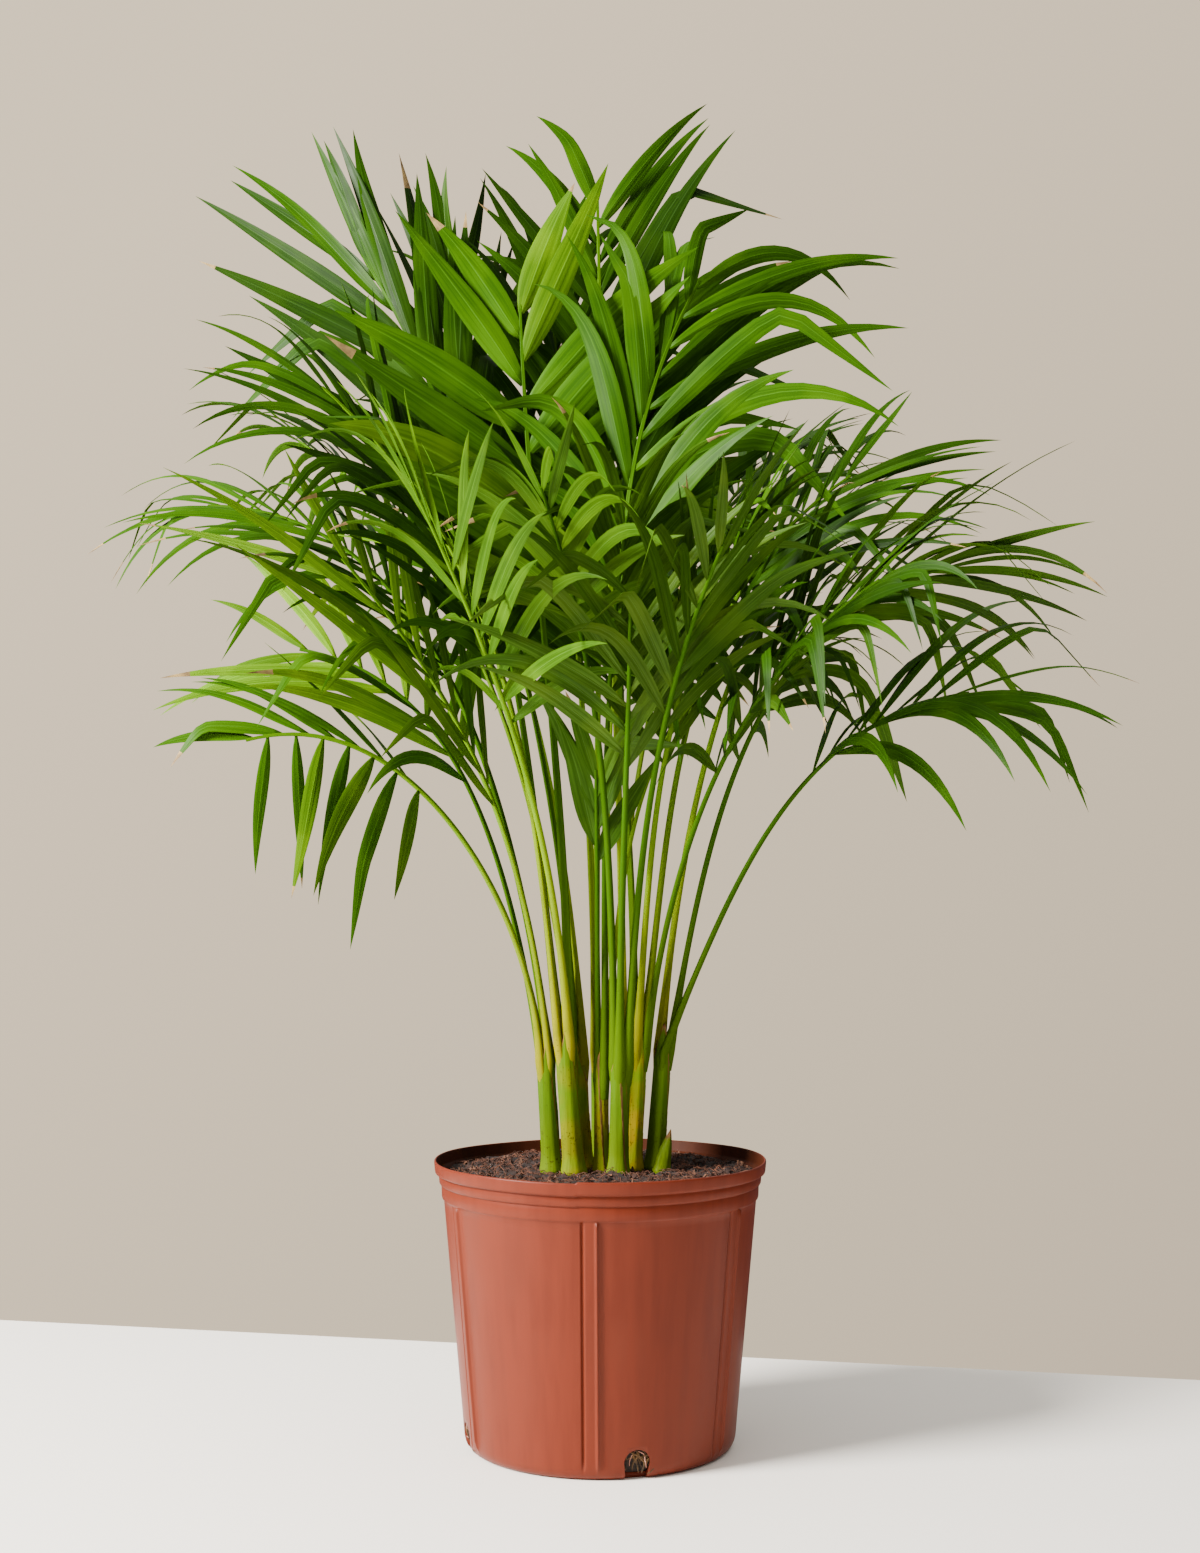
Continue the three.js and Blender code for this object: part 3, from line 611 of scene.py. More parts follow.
def makeThreads(name, paths, material, tree, sides=4):
    thick = []
    for line, radius in paths:
        along = [abs(2 * i / (len(line) - 1) - 1) for i in range(len(line))]
        thick += [radius * mm * (1 - threadTaper * share) for share in along]
    obj = newPaths(name, [line for line, radius in paths], {"thick": thick})
    place(grow(obj, tree, {"Sides": sides, "Material": material}), "mix")


def fibrePaths():
    luck = np.random.default_rng(21)
    paths = []
    for _ in range(fibre["count"]):
        spread = fibre["reach"] * math.sqrt(luck.random())
        a = luck.random() * 2 * math.pi
        at = np.array([spread * math.cos(a), spread * math.sin(a)])
        way = luck.random() * 360
        bend = luck.normal(0, fibre["bend"])
        line = []
        for i in range(fibre["points"]):
            height = soilHeight(*at) + fibre["clear"] + fibre["float"] * luck.random()
            line.append((*at, height + fibre["bow"] * (i in fibre["bowed"])))
            way += bend
            at = at + aim(way)[:2] * (fibre["step"][0] + fibre["step"][1] * luck.random())
        paths.append((line, fibre["thick"][0] + fibre["thick"][1] * luck.random()))
    return paths


def rootPaths(root):
    luck = np.random.default_rng(root["seed"])
    wide, tall = rootWalk["opening"]
    paths = []
    for index in range(hole["count"]):
        for _ in range(root["count"]):
            at = np.array([luck.uniform(-rootWalk["spread"], rootWalk["spread"]) for _ in range(2)])
            rises = luck.random() < rootWalk["risingShare"]
            heading = luck.uniform(*rootWalk["rising"]) if rises else luck.uniform(0, 180)
            depth = luck.uniform(*root["depth"])
            line = []
            for _ in range(rootWalk["points"]):
                if root["whole"] or math.hypot(at[0] / wide, at[1] / tall) < 1:
                    middle, across = holeAt(index, depth)
                    line.append(middle + across * at[0] + np.array([0, 0, at[1]]))
                heading += luck.normal(0, rootWalk["wander"])
                step = np.array([math.cos(math.radians(heading)), math.sin(math.radians(heading))])
                at = at + rootWalk["step"] * step
                depth = min(depth + luck.normal(0, rootWalk["sink"]), root["deepest"])
            line = [p for p in line if abs(p[2] - hole["height"]) < rootWalk["tall"]]
            if len(line) > 2:
                paths.append((line, luck.uniform(*root["thick"])))
    return paths


# Shoots and fronds, in millimetres and degrees, as the source has them
caneFields = ("x", "y", "foot", "top", "height", "way", "lean")
shoots = {
    "far_left": (-37, -3, 7.6, 7.1, 84, 180, 3), "left": (-20, -12, 8.2, 7.6, 97, 180, 4),
    "back_left": (-13, 15, 6.9, 6.7, 80, 130, 4), "back": (0, 36, 7, 7, 86, 90, 3),
    "middle": (1, -2, 5.6, 5.4, 70, -60, 1), "front": (14, -16, 7.6, 7.4, 82, -60, 3),
    "right": (24, 8, 7.6, 7.4, 90, 20, 4), "far_right": (42, 16, 7.4, 6.8, 90, 20, 5),
}
shoots = {name: dict(zip(caneFields, row)) for name, row in shoots.items()}
stub = dict(zip(caneFields, (46, -6, 6.2, 3, 31, 10, 14)))
caneSunk, stalkClear = 3, 0.3

usualFrond = {
    "spread": (58, 17), "vee": 20, "roll": 0, "droop": (0.6, 0.6), "louvre": 14, "stalk": 2.6, "bare": 0.5,
    "tilt": 0, "close": 1, "sides": (1, 1), "finer": 1.5, "tones": ("mid", "fresh"), "split": False,
}
# Each row has these first, then what the frond has that isn't usual
frondFields = ("name", "shoot", "tip", "rise", "settle", "leaf", "width", "pairs", "side")
fronds = [
    ("left_long", "far_left", (-312, 60, 728), 82, 2, 190, 12, 11, "left",
     dict(roll=45, vee=12, droop=(1.4, 1.4), split=True)),
    ("right_low", "far_right", (280, -20, 574), 67, 8, 212, 18, 6, "right",
     dict(roll=-40, vee=12, bare=0.62, spread=(54, 18), droop=(1.4, 1.4), split=True)),
    # Its lime and fresh tones are partly painted light, paler for the light that falls on the left side
    ("left_low", "far_left", (-262, -60, 536), 86, -16, 160, 16, 7, "left",
     dict(roll=84, vee=-6, bare=0.58, spread=(62, 48), tilt=-34, finer=1, droop=(0.5, 0.7), sides=(1, 0.85),
          split=True, tones=("lime", "fresh"))),
    ("right_long", "far_right", (272, 0, 672), 80, 10, 215, 15, 11, "right",
     dict(roll=40, vee=14, tilt=-10, droop=(1, 1), split=True, tones=("deep", "mid"))),
    ("crown_left", "left", (-188, 60, 926), 83, 57, 212, 22, 8, "crown",
     dict(bare=0.58, roll=100, vee=8, spread=(37, 12), tilt=-6, finer=1.25, droop=(0.2, 0.2), sides=(1.16, 1),
          tones=("dark", "deep"))),
    ("crown_centre", "left", (-63, 40, 886), 89, 86, 208, 32, 7, "crown",
     dict(bare=0.58, vee=8, roll=40, spread=(60, 16), close=2.4, finer=1, droop=(0.35, 0.2), stalk=3.1,
          tones=("fresh", "lime"))),
    ("crown_right", "front", (-2, 90, 980), 90, 84, 208, 21, 10, "crown",
     dict(bare=0.52, vee=12, spread=(46, 28), finer=1.25, droop=(0.5, 0.3), sides=(0.76, 1.14),
          tones=("mid", "deep"))),
    ("crown_arch", "right", (78, 32, 900), 88, 60, 208, 20, 8, "crown",
     dict(bare=0.58, roll=-85, vee=14, spread=(40, 22), tilt=8, finer=1.25, droop=(1.1, 1.1),
          sides=(0.9, 1.15))),
    ("right_high", "right", (198, 50, 750), 82, 34, 200, 14, 11, "right",
     dict(roll=-50, vee=14, droop=(0.7, 0.7), split=True, tones=("mid", "deep"))),
    # Its light and lime tones are partly painted light, paler for the light that falls on the left side
    ("left_mid", "far_left", (-192, -50, 672), 84, 48, 226, 15, 8, "left",
     dict(roll=78, vee=6, bare=0.46, spread=(37, 24), finer=1, droop=(0.3, 0.3), sides=(1, 0.7),
          tones=("light", "lime"))),
    ("left_high", "left", (-212, -10, 808), 84, 42, 190, 14, 11, "left",
     dict(roll=55, vee=10, droop=(0.8, 0.8), split=True, tones=("mid", "deep"))),
    ("right_front", "right", (195, -150, 644), 80, 25, 180, 15, 10, "right",
     dict(roll=-60, vee=10, droop=(0.8, 0.8), split=True, tones=("deep", "dark"))),
    ("crown_back", "back", (-40, 140, 915), 88, 80, 195, 21, 9, "crown",
     dict(bare=0.48, droop=(0.5, 0.5), tones=("deep", "mid"))),
    ("crown_far", "back_left", (-126, 140, 936), 88, 80, 190, 19, 9, "crown",
     dict(roll=30, spread=(46, 10), droop=(0.35, 0.3), stalk=2.1, tones=("deep", "dark"))),
    ("right_back", "far_right", (200, 230, 742), 80, 30, 175, 15, 10, "back",
     dict(roll=20, droop=(0.8, 0.8), split=True, tones=("deep", "mid"))),
    ("left_back", "back_left", (-255, 170, 800), 81, 30, 185, 15, 10, "back",
     dict(roll=-20, droop=(0.8, 0.8), stalk=2.1, split=True, tones=("deep", "mid"))),
    ("back_low", "back", (0, 330, 757), 78, 20, 170, 15, 10, "back", dict(split=True, tones=("mid", "deep"))),
    ("back_right", "back", (165, 280, 813), 80, 25, 180, 15, 10, "back", dict(stalk=2, split=True)),
    ("back_left_low", "back_left", (-150, 320, 752), 80, 20, 175, 15, 10, "back",
     dict(stalk=2.1, split=True)),
    ("front_centre", "front", (22, -120, 640), 88, 78, 178, 14, 7, "middle",
     dict(bare=0.64, vee=10, tilt=6, finer=1, droop=(0.8, 1), spread=(42, 34), sides=(1.15, 0.95),
          tones=("dull", "deep"))),
    ("front_left", "front", (-42, -130, 712), 87, 52, 140, 15, 6, "middle",
     dict(bare=0.76, roll=10, finer=1.25, droop=(0.9, 1))),
    ("front_right", "front", (84, -180, 664), 84, 42, 168, 14, 7, "middle",
     dict(bare=0.62, roll=-20, spread=(44, 20), finer=1, droop=(0.8, 0.7), tones=("deep", "dull"))),
    ("left_front", "left", (-132, -150, 712), 84, 52, 172, 15, 9, "left",
     dict(bare=0.56, roll=35, finer=1.25, droop=(0.9, 0.9))),
    # Its light and lime tones are partly painted light, paler for the light that falls on the left side
    ("left_wide", "far_left", (-236, 40, 612), 80, 10, 180, 15, 8, "left",
     dict(bare=0.52, roll=66, vee=10, spread=(50, 26), finer=1, droop=(0.9, 0.7), stalk=2.2, split=True,
          tones=("light", "lime"))),
    ("right_drop", "middle", (148, -14, 610), 85, 10, 150, 13, 7, "right",
     dict(bare=0.6, droop=(1.8, 1.2), stalk=2.1, split=True, tones=("deep", "dark"))),
    ("right_inner", "right", (106, -70, 683), 84, 50, 170, 15, 9, "middle",
     dict(bare=0.52, roll=-35, tones=("mid", "dull"))),
    ("back_middle", "back", (40, 190, 836), 87, 50, 175, 15, 10, "back",
     dict(stalk=2, tones=("deep", "dark"))),
    ("middle_tall", "middle", (20, -70, 700), 88, 60, 165, 17, 7, "middle",
     dict(bare=0.68, droop=(1.3, 1.3), stalk=2.3)),
    ("front_small", "middle", (-3, -30, 515), 89, 86, 112, 22, 2, "middle",
     dict(bare=0.7, vee=10, spread=(28, 16), stalk=1.9, tones=("deep", "mid"))),
]
fronds = [{**usualFrond, **dict(zip(frondFields, row)), **row[-1]} for row in fronds]

ribMake = {
    "pull": 0.38, "rollAtFoot": 0.4, "tipHalf": 1.1, "taper": 1.5, "points": 48, "crowd": 1.15, "sides": 12,
    "groove": 0.34, "sunk": 15, "inward": 0.6, "footGain": 1.75, "footShare": 0.17, "gain": 1.12,
}


def shootTop(shoot):
    foot = np.array([shoot["x"], shoot["y"], soil["top"]])
    return foot + aim(shoot["way"], 90 - shoot["lean"]) * shoot["height"]


def standing(frond):  # its heading, where it stands round its shoot's top, and how many share that top
    shoot = shoots[frond["shoot"]]
    top = shootTop(shoot)

    def heading(f):
        return math.degrees(math.atan2(f["tip"][1] - top[1], f["tip"][0] - top[0]))

    mates = [f for f in fronds if f["shoot"] == frond["shoot"]]
    mates.sort(key=lambda f: (heading(f) - shoot["way"] + 540) % 360 - 180)
    order = [f["name"] for f in mates].index(frond["name"]) - (len(mates) - 1) / 2
    return heading(frond), shoot["way"] + order * 360 / len(mates), len(mates)


def ribLine(frond):
    shoot = shoots[frond["shoot"]]
    heading, way, mates = standing(frond)
    out = shoot["top"] - frond["stalk"] if mates > 1 else 0
    start = shootTop(shoot) + aim(way) * out + np.array([0, 0, stalkClear])
    tip = np.array(frond["tip"], float)
    chord = np.linalg.norm(tip - start)
    return [start, start + aim(heading, frond["rise"]) * chord * ribMake["pull"],
            tip - aim(heading, frond["settle"]) * chord * ribMake["pull"], tip]


def ribAt(frond, line, heading, t):
    a, b, c, d = line
    q = 1 - t
    spot = a * q**3 + b * 3 * q * q * t + c * 3 * q * t * t + d * t**3
    along = unit((b - a) * q * q + (c - b) * 2 * q * t + (d - c) * t * t)
    level = aim(heading - 90)
    right = unit(level - along * np.dot(level, along))
    up = np.cross(right, along)
    leafy = max(0, (t - frond["bare"]) / (1 - frond["bare"]))
    roll = frond["roll"] * (ribMake["rollAtFoot"] + (1 - ribMake["rollAtFoot"]) * leafy)
    half = frond["stalk"] + (ribMake["tipHalf"] - frond["stalk"]) * t ** ribMake["taper"]
    right, up = turn(right, up, roll), turn(up, right, -roll)
    return {"spot": spot, "along": along, "right": right, "up": up, "half": half}


leafMake = {
    "steps": 14, "thick": 0.5, "fold": 0.34, "unfold": (0.7, 0.6), "pleat": 0.05, "twist": (34, 1.3),
    "rooted": 0.55, "mostBend": 0.9, "flattest": 0.2, "cell": 5.5,
    "across": (-1, -0.64, -0.31, 0, 0.31, 0.64, 1), "pleats": (0, 1, -1, 1, -1, 1, 0),
}
# How a leaflet's length, width and stand change along its rib, and how its width changes along itself
leafForm = {
    "longestAt": 0.35, "footLoss": 0.3, "tipLoss": 0.42, "veeLoss": 0.35, "footWidth": 0.72, "fullFrom": 0.25,
    "wideAt": 0.34, "narrow": 0.8, "narrowCurve": 2.2, "taperAt": 0.4, "taperCurve": 1.75, "point": 0.12,
}
# What chance adds: the least, and how much more there may be
leafChance = {
    "spread": 18, "vee": 26, "length": (0.84, 0.26), "droop": (0.45, 1.4), "droopRare": 1.8, "sagCurve": 1.6,
    "width": (0.93, 0.14), "bow": (0.35, 0.16), "bowWave": 4.5, "kink": 14, "kinkFrom": 0.8,
    "kinkAt": (0.5, 0.75), "secondTone": 0.62, "darkerTone": 0.93, "dryTip": 0.16, "shortDryTip": 0.1,
}
# A leaflet in the way of another is tried with more vee in degrees, then shorter and narrower
tries = [
    (0, 1, 1), (7, 1, 1), (-7, 1, 1), (14, 1, 0.95), (-14, 1, 0.95), (21, 0.95, 0.9), (-21, 0.95, 0.9),
    (0, 0.85, 0.8), (10, 0.75, 0.8), (-10, 0.75, 0.8),
]
planning = {
    "ribSpots": 140, "tryCost": 0.004, "goodEnough": 0.02, "tooMuch": 0.42, "slim": 0.86, "finer": 0.35,
}


def leafShare(u):  # a leaflet's length, by where it stands on its rib
    longest = leafForm["longestAt"]
    if u < longest:
        return 1 - leafForm["footLoss"] * ((longest - u) / longest) ** 2
    return 1 - leafForm["tipLoss"] * ((u - longest) / (1 - longest)) ** 2


def leafWidths(t):  # narrow at the rib, full at a third of the way, then a long fine point
    rise = 1 - leafForm["narrow"] * (1 - np.clip(t / leafForm["wideAt"], 0, 1)) ** leafForm["narrowCurve"]
    fall = np.clip((t - leafForm["taperAt"]) / (1 - leafForm["taperAt"]), 0, 1)
    return rise * (1 - fall ** leafForm["taperCurve"]) * (1 - leafForm["point"] * fall)


def between(name, luck):
    least, more = leafChance[name]
    return least + more * luck


def leafRuns(frond, u, way, flat, luck):  # the way that each step along a leaflet takes
    sag, tipSag = frond["droop"]
    middle = (np.arange(leafMake["steps"]) + 0.5) / leafMake["steps"]
    kink = leafChance["kink"] * max(0, luck[9] - leafChance["kinkFrom"])
    droop = (sag + (tipSag - sag) * u) * between("droop", luck[3] ** leafChance["droopRare"])
    fall = droop * middle ** leafChance["sagCurve"] + kink * smooth(*leafChance["kinkAt"], middle)
    fall = np.minimum(fall, leafMake["mostBend"] / max(leafMake["flattest"], way[2]))
    bow = (luck[6] - leafChance["bow"][0]) * leafChance["bow"][1]
    sideways = flat * (bow * np.sin(middle * leafChance["bowWave"]))[:, None]
    runs = way + np.array([0, 0, -1.0]) * fall[:, None] + sideways
    return runs / np.linalg.norm(runs, axis=1)[:, None]


def leaflet(frond, number, k, count, rib, change):
    side = 1 if k % 2 else -1
    u = (k + 0.5) / count
    luck = [chance(number, k, use) for use in range(10)]
    veeMore, lengthShare, widthShare = change
    wide, narrow = frond["spread"]
    spread = wide + (narrow - wide) * u ** frond["close"] + (luck[0] - 0.5) * leafChance["spread"]
    vee = frond["vee"] * (1 - leafForm["veeLoss"] * u) + (luck[1] - 0.5) * leafChance["vee"] + veeMore
    outward = turn(rib["right"] * side, rib["up"], vee)
    way = turn(rib["along"], outward, spread + frond["tilt"] * side)
    length = frond["leaf"] * leafShare(u) * between("length", luck[2]) * lengthShare * frond["sides"][k % 2]
    swell = math.sin(math.pi * min(1, u + leafForm["fullFrom"]))
    fullness = (leafForm["footWidth"] + (1 - leafForm["footWidth"]) * swell) * between("width", luck[4])
    width = frond["width"] * fullness * widthShare * frond["slim"]
    flat = unit(rib["along"] - way * np.dot(rib["along"], way))
    level = turn(flat, np.cross(way, flat), frond["louvre"] * side)
    runs = leafRuns(frond, u, way, flat, luck)
    start = rib["spot"] + outward * rib["half"] * leafMake["rooted"]
    spots = start + np.vstack([np.zeros(3), np.cumsum(runs * length / leafMake["steps"], 0)])
    along = np.vstack([runs[0], (runs[1:] + runs[:-1]) / 2, runs[-1]])
    along /= np.linalg.norm(along, axis=1)[:, None]
    across = np.empty_like(along)
    for i, run in enumerate(along):
        level = level - run * (level @ run)
        across[i] = level = level / math.sqrt(level @ level)
    face = np.cross(along, across) * side
    t = np.linspace(0, 1, leafMake["steps"] + 1)
    most, curve = leafMake["twist"]
    twist = np.radians(most * (luck[5] - 0.5) * 2 * t**curve)[:, None]
    c, s = np.cos(twist), np.sin(twist)
    across, face = across * c + face * s, face * c - across * s
    half = width / 2 * leafWidths(t)
    return {"spots": spots, "across": across, "face": face, "half": half, "side": side, "t": t, "luck": luck}


def cellAt(spots):
    return np.floor(spots / leafMake["cell"]).astype(int)


def cellsOf(leaf):  # the small cells of space that a leaflet passes through, away from its own rib
    spots, half, across = leaf["spots"], leaf["half"], leaf["across"]
    rows = []
    for share in (0, 0.5):
        a = spots[2:-1] * (1 - share) + spots[3:] * share
        for s in (-0.8, 0, 0.8):
            rows.append(a + across[2:-1] * (half[2:-1] * s)[:, None])
    return {tuple(c) for c in cellAt(np.vstack(rows))}


def bestLeaf(plan, k, taken):  # the first try that keeps clear of the others, else the clearest, or none
    frond, number, count = plan["frond"], plan["number"], plan["count"]
    t = frond["bare"] + (1 - frond["bare"]) * (k + 0.5) / count
    rib = ribAt(frond, plan["line"], plan["heading"], t)
    best, bestCells, bestCost = None, None, math.inf
    for order, change in enumerate(tries):
        leaf = leaflet(frond, number, k, count, rib, change)
        cells = cellsOf(leaf)
        shared = sum(taken.get(c, number) != number for c in cells)
        cost = shared / len(cells) + order * planning["tryCost"]
        if cost < bestCost:
            best, bestCells, bestCost = leaf, cells, cost
        if cost < planning["goodEnough"]:
            break
    return (best, bestCells) if bestCost < planning["tooMuch"] else (None, ())


def planFronds():
    plans, taken = [], {}
    for number, frond in enumerate(fronds):
        slim = 1 if frond["side"] == "crown" else planning["slim"]
        frond["slim"] = slim / frond["finer"] ** planning["finer"]
        count = round(2 * frond["pairs"] * frond["finer"])
        plan = {"frond": frond, "number": number, "line": ribLine(frond), "heading": standing(frond)[0],
                "count": count, "leaves": []}
        plans.append(plan)
        for t in np.linspace(0, 1, planning["ribSpots"]):
            taken[tuple(cellAt(ribAt(frond, plan["line"], plan["heading"], t)["spot"]))] = number
    for plan in plans:
        for k in range(plan["count"]):
            leaf, cells = bestLeaf(plan, k, taken)
            if leaf:
                plan["leaves"].append(leaf)
            for c in cells:
                taken.setdefault(c, plan["number"])
    return plans


# Leaflets: thin pleated blades, folded along the middle, closed, with an upper and an under side
def leafMeshParts(leaf):
    columns, pleats = np.array(leafMake["across"]), np.array(leafMake["pleats"])
    unfold, unfoldTo = leafMake["unfold"]
    t, half = leaf["t"][:-1], leaf["half"][:-1]
    fold = leafMake["fold"] * (1 - unfold * smooth(0, unfoldTo, t))
    rise = (1 - np.abs(columns))[None, :] * fold[:, None] + pleats[None, :] * leafMake["pleat"]
    rise = rise * half[:, None] - fold[:, None] * half[:, None] * 0.5
    spots = leaf["spots"][:-1, None, :]
    across, face = leaf["across"][:-1, None, :], leaf["face"][:-1, None, :]
    upper = spots + across * (columns[None, :] * half[:, None])[..., None] + face * rise[..., None]
    under = upper[:, 1:-1] - face * leafMake["thick"]
    rings = np.concatenate([upper, under[:, ::-1]], 1)
    points = np.vstack([rings.reshape(-1, 3), leaf["spots"][-1:]])
    side = np.concatenate([(columns + 1) / 2, (columns[1:-1][::-1] + 1) / 2])
    uv = [(s, v) for v in t for s in side] + [(0.5, 1)]
    return points, uv, rings.shape[1], len(t)


def leafFaces(around, rows, start, side):
    quads = []
    for r in range(rows - 1):
        for i in range(around):
            a, b = start + r * around + i, start + r * around + (i + 1) % around
            quads.append((a, a + around, b + around, b))
    tip, last = start + rows * around, start + (rows - 1) * around
    point = [(last + i, tip, last + (i + 1) % around) for i in range(around)]
    return [face[::side] for face in quads + point + [tuple(range(start, start + around))]]


# The greens of a leaflet's upper and under side, in sRGB from 0 to 255. The light tone is partly the
# leaflets' own paler green and partly painted light, brighter for the light that falls on the left fronds.
tones = {
    "light": ((96, 138, 6), (104, 142, 14)), "lime": ((70, 106, 0), (78, 110, 4)),
    "fresh": ((52, 92, 0), (64, 100, 6)), "mid": ((44, 81, 0), (56, 90, 10)),
    "deep": ((35, 67, 1), (47, 76, 12)), "dark": ((28, 55, 3), (38, 64, 10)),
    "dull": ((46, 76, 10), (58, 86, 22)),
}
toneNames = list(tones)


def leafKinds(leaf, frondTones, around, rows):  # the material of each face, with the foot's cap last
    luck = leaf["luck"]
    main, other = frondTones
    tone = toneNames.index(main if luck[7] < leafChance["secondTone"] else other)
    if luck[7] > leafChance["darkerTone"]:
        tone = min(len(tones) - 1, toneNames.index(other) + 1)
    upper, under, dry = tone * 2, tone * 2 + 1, len(tones) * 2
    dryRows = 0
    if luck[8] < leafChance["dryTip"]:
        dryRows = 1 if luck[8] < leafChance["shortDryTip"] else 2
    ring = [upper] * (len(leafMake["across"]) - 1)
    ring += [under] * (around - len(ring))
    return ring * (rows - dryRows) + [dry] * (around * dryRows) + [under]


def makeLeaves(plans, side, materials):
    points, uv, faces, kinds, rims = [], [], [], [], []
    total = 0
    mine = [plan for plan in plans if plan["frond"]["side"] == side]
    for plan in mine:
        for leaf in plan["leaves"]:
            made, places, around, rows = leafMeshParts(leaf)
            points.append(made)
            uv += places
            faces += leafFaces(around, rows, total, leaf["side"])
            kinds += leafKinds(leaf, plan["frond"]["tones"], around, rows)
            rim = np.zeros(len(made), bool)
            rim[:-1].reshape(rows, around)[:, [0, len(leafMake["across"]) - 1]] = True
            rim[-1] = True
            rims.append(rim)
            total += len(made)
    obj = newMesh("leaflets_" + side, (np.vstack(points) * mm).tolist(), faces, materials, kinds, uv)
    rim = np.concatenate(rims)
    ends = np.zeros(len(obj.data.edges) * 2, int)
    obj.data.edges.foreach_get("vertices", ends)
    sharp = obj.data.attributes.new("sharp_edge", "BOOLEAN", "EDGE")
    sharp.data.foreach_set("value", rim[ends[::2]] & rim[ends[1::2]])
    print("leaflets", side, len(points), "triangles", sum(len(f) - 2 for f in faces))
    place(obj, "frond", *["frond_" + plan["frond"]["name"] for plan in mine])


# Ribs: each stalk and its rachis follow the source's curve, with a grooved section
def ribTree():
    tree, given, out = newShapeTree("groovedRibs", ("Sides", "Int", 12), ("Groove", "Float", 0.3))
    path, circle = pathAndCircle(tree, given)
    facing = node(tree, "GeometryNodeSetCurveNormal", {0: path}, mode="FREE")
    tree.links.new(namedValue(tree, "ribUp", "FLOAT_VECTOR"), facing.inputs[2])
    spot = node(tree, "ShaderNodeSeparateXYZ", {0: node(tree, "GeometryNodeInputPosition").outputs[0]})
    raised = calc("MAXIMUM", spot.outputs[0], 0.0)
    inner = calc("SUBTRACT", 1.0, calc("ABSOLUTE", spot.outputs[1]))
    dip = times(times(raised, inner), given["Groove"])
    sunk = node(tree, "ShaderNodeCombineXYZ", {0: times(dip, -2.0)}).outputs[0]
    section = node(tree, "GeometryNodeSetPosition", {"Geometry": circle, "Offset": sunk}).outputs[0]
    return tubeOn(tree, given, out, facing.outputs[0], section, namedValue(tree, "ribHalf"))


def makeRibs(plans, material):
    lines, ups, halves, shares, ribTones = [], [], [], [], []
    stops = np.linspace(0, 1, ribMake["points"]) ** ribMake["crowd"]
    for plan in plans:
        frond = plan["frond"]
        shoot = shoots[frond["shoot"]]
        rows = [ribAt(frond, plan["line"], plan["heading"], t) for t in stops]
        foot = shootTop(shoot) * (1 - ribMake["inward"]) + rows[0]["spot"] * ribMake["inward"]
        foot = foot - aim(shoot["way"], 90 - shoot["lean"]) * ribMake["sunk"]
        lines.append([foot] + [row["spot"] for row in rows])
        for row, share in zip(rows[:1] + rows, [0, *stops]):
            wide = 1 + (ribMake["footGain"] - 1) * (1 - min(1, share / ribMake["footShare"])) ** 2
            ups.append(row["up"])
            halves.append(row["half"] * mm * wide * ribMake["gain"])
            shares.append(share)
            ribTones.append(chance(plan["number"], 99, 3))
    attributes = {"ribUp": ups, "ribHalf": halves, "ribShare": shares, "ribTone": ribTones}
    obj = newPaths("frond_ribs", lines, attributes)
    grow(obj, ribTree(), {"Sides": ribMake["sides"], "Groove": ribMake["groove"], "Material": material})
    place(obj, "stalk", *["stalk_" + frond["name"] for frond in fronds if frond["split"]])


# Shoots: wrapped leaf sheaths with a slanting open edge, and a mouth round the stalks
sheath = {
    "around": 64, "rows": 60, "flareHeight": 14, "flareGain": 1.25, "low": 12, "tongue": 34, "tonguePoint": 7,
    "second": 20, "secondPoint": 9, "secondTurn": 1.3, "mouth": (90, 110), "seam": (-90, 100),
    "neck": (14, 30), "neckLoss": 0.12, "ribs": 9, "ribRise": 0.12, "ribWind": 2,
    "lipFrom": 0.955, "lip": 0.95, "paperFrom": (4, 24), "paper": 0.6, "climbTop": 100,
    "throat": [(0.93, 1), (0.86, 0.45), (0.7, -0.2)], "throatDrop": 2, "throatMargin": 0.5,
}
# The sheath's two overlapping edges: their step, how they wind, and how wide and strong their margin is
wraps = [
    {"step": 1.2, "start": 1.1, "wind": 1.1, "width": 1.3, "strength": 1},
    {"step": 0.6, "start": 2.4, "wind": 1.7, "width": 1, "strength": 0.7},
]
stubMake = {
    "around": 36, "rows": 26, "slant": 0.06, "slantTurn": 0.8, "flareHeight": 8, "flareGain": 1.25,
    "point": 2.2, "waist": 0.2, "bulge": 0.06, "bulges": 3, "bulgeWind": 4, "ribs": 11, "ribRise": 0.08,
    "seam": 4.2, "seamWind": 1.2, "seamWidth": 0.25, "dryFrom": 0.72, "climb": 0.4, "tone": 0.75,
}


def flare(h, make):  # how much wider a cane is near its foot
    return 1 + (make["flareGain"] - 1) * np.maximum(0, 1 - h / make["flareHeight"]) ** 1.5


def caneRing(cane, share, h, radius, angles):  # one level of a leaning cane, whose foot stands in the mix
    out, lean = aim(cane["way"]), math.radians(cane["lean"])
    x = cane["x"] + out[0] * (h * math.sin(lean)) + radius * np.cos(angles)
    y = cane["y"] + out[1] * (h * math.sin(lean)) + radius * np.sin(angles)
    z = soil["top"] - caneSunk * (share == 0) + h * math.cos(lean)
    return np.stack([x, y, z], -1)


def finishCane(name, replaced, rings, margins, climbs, endMargin, tone, material):
    points, faces = loft(rings)
    obj = newMesh(name, points, faces, [material])
    margins, climbs = np.concatenate(margins), np.concatenate(climbs)
    extra = len(points) - len(margins)
    setAttribute(obj, "margin", np.concatenate([margins, np.full(extra, endMargin)]))
    setAttribute(obj, "climb", np.concatenate([climbs, np.zeros(extra)]))
    setAttribute(obj, "shootTone", np.full(len(points), tone))
    place(obj, "cane", replaced)


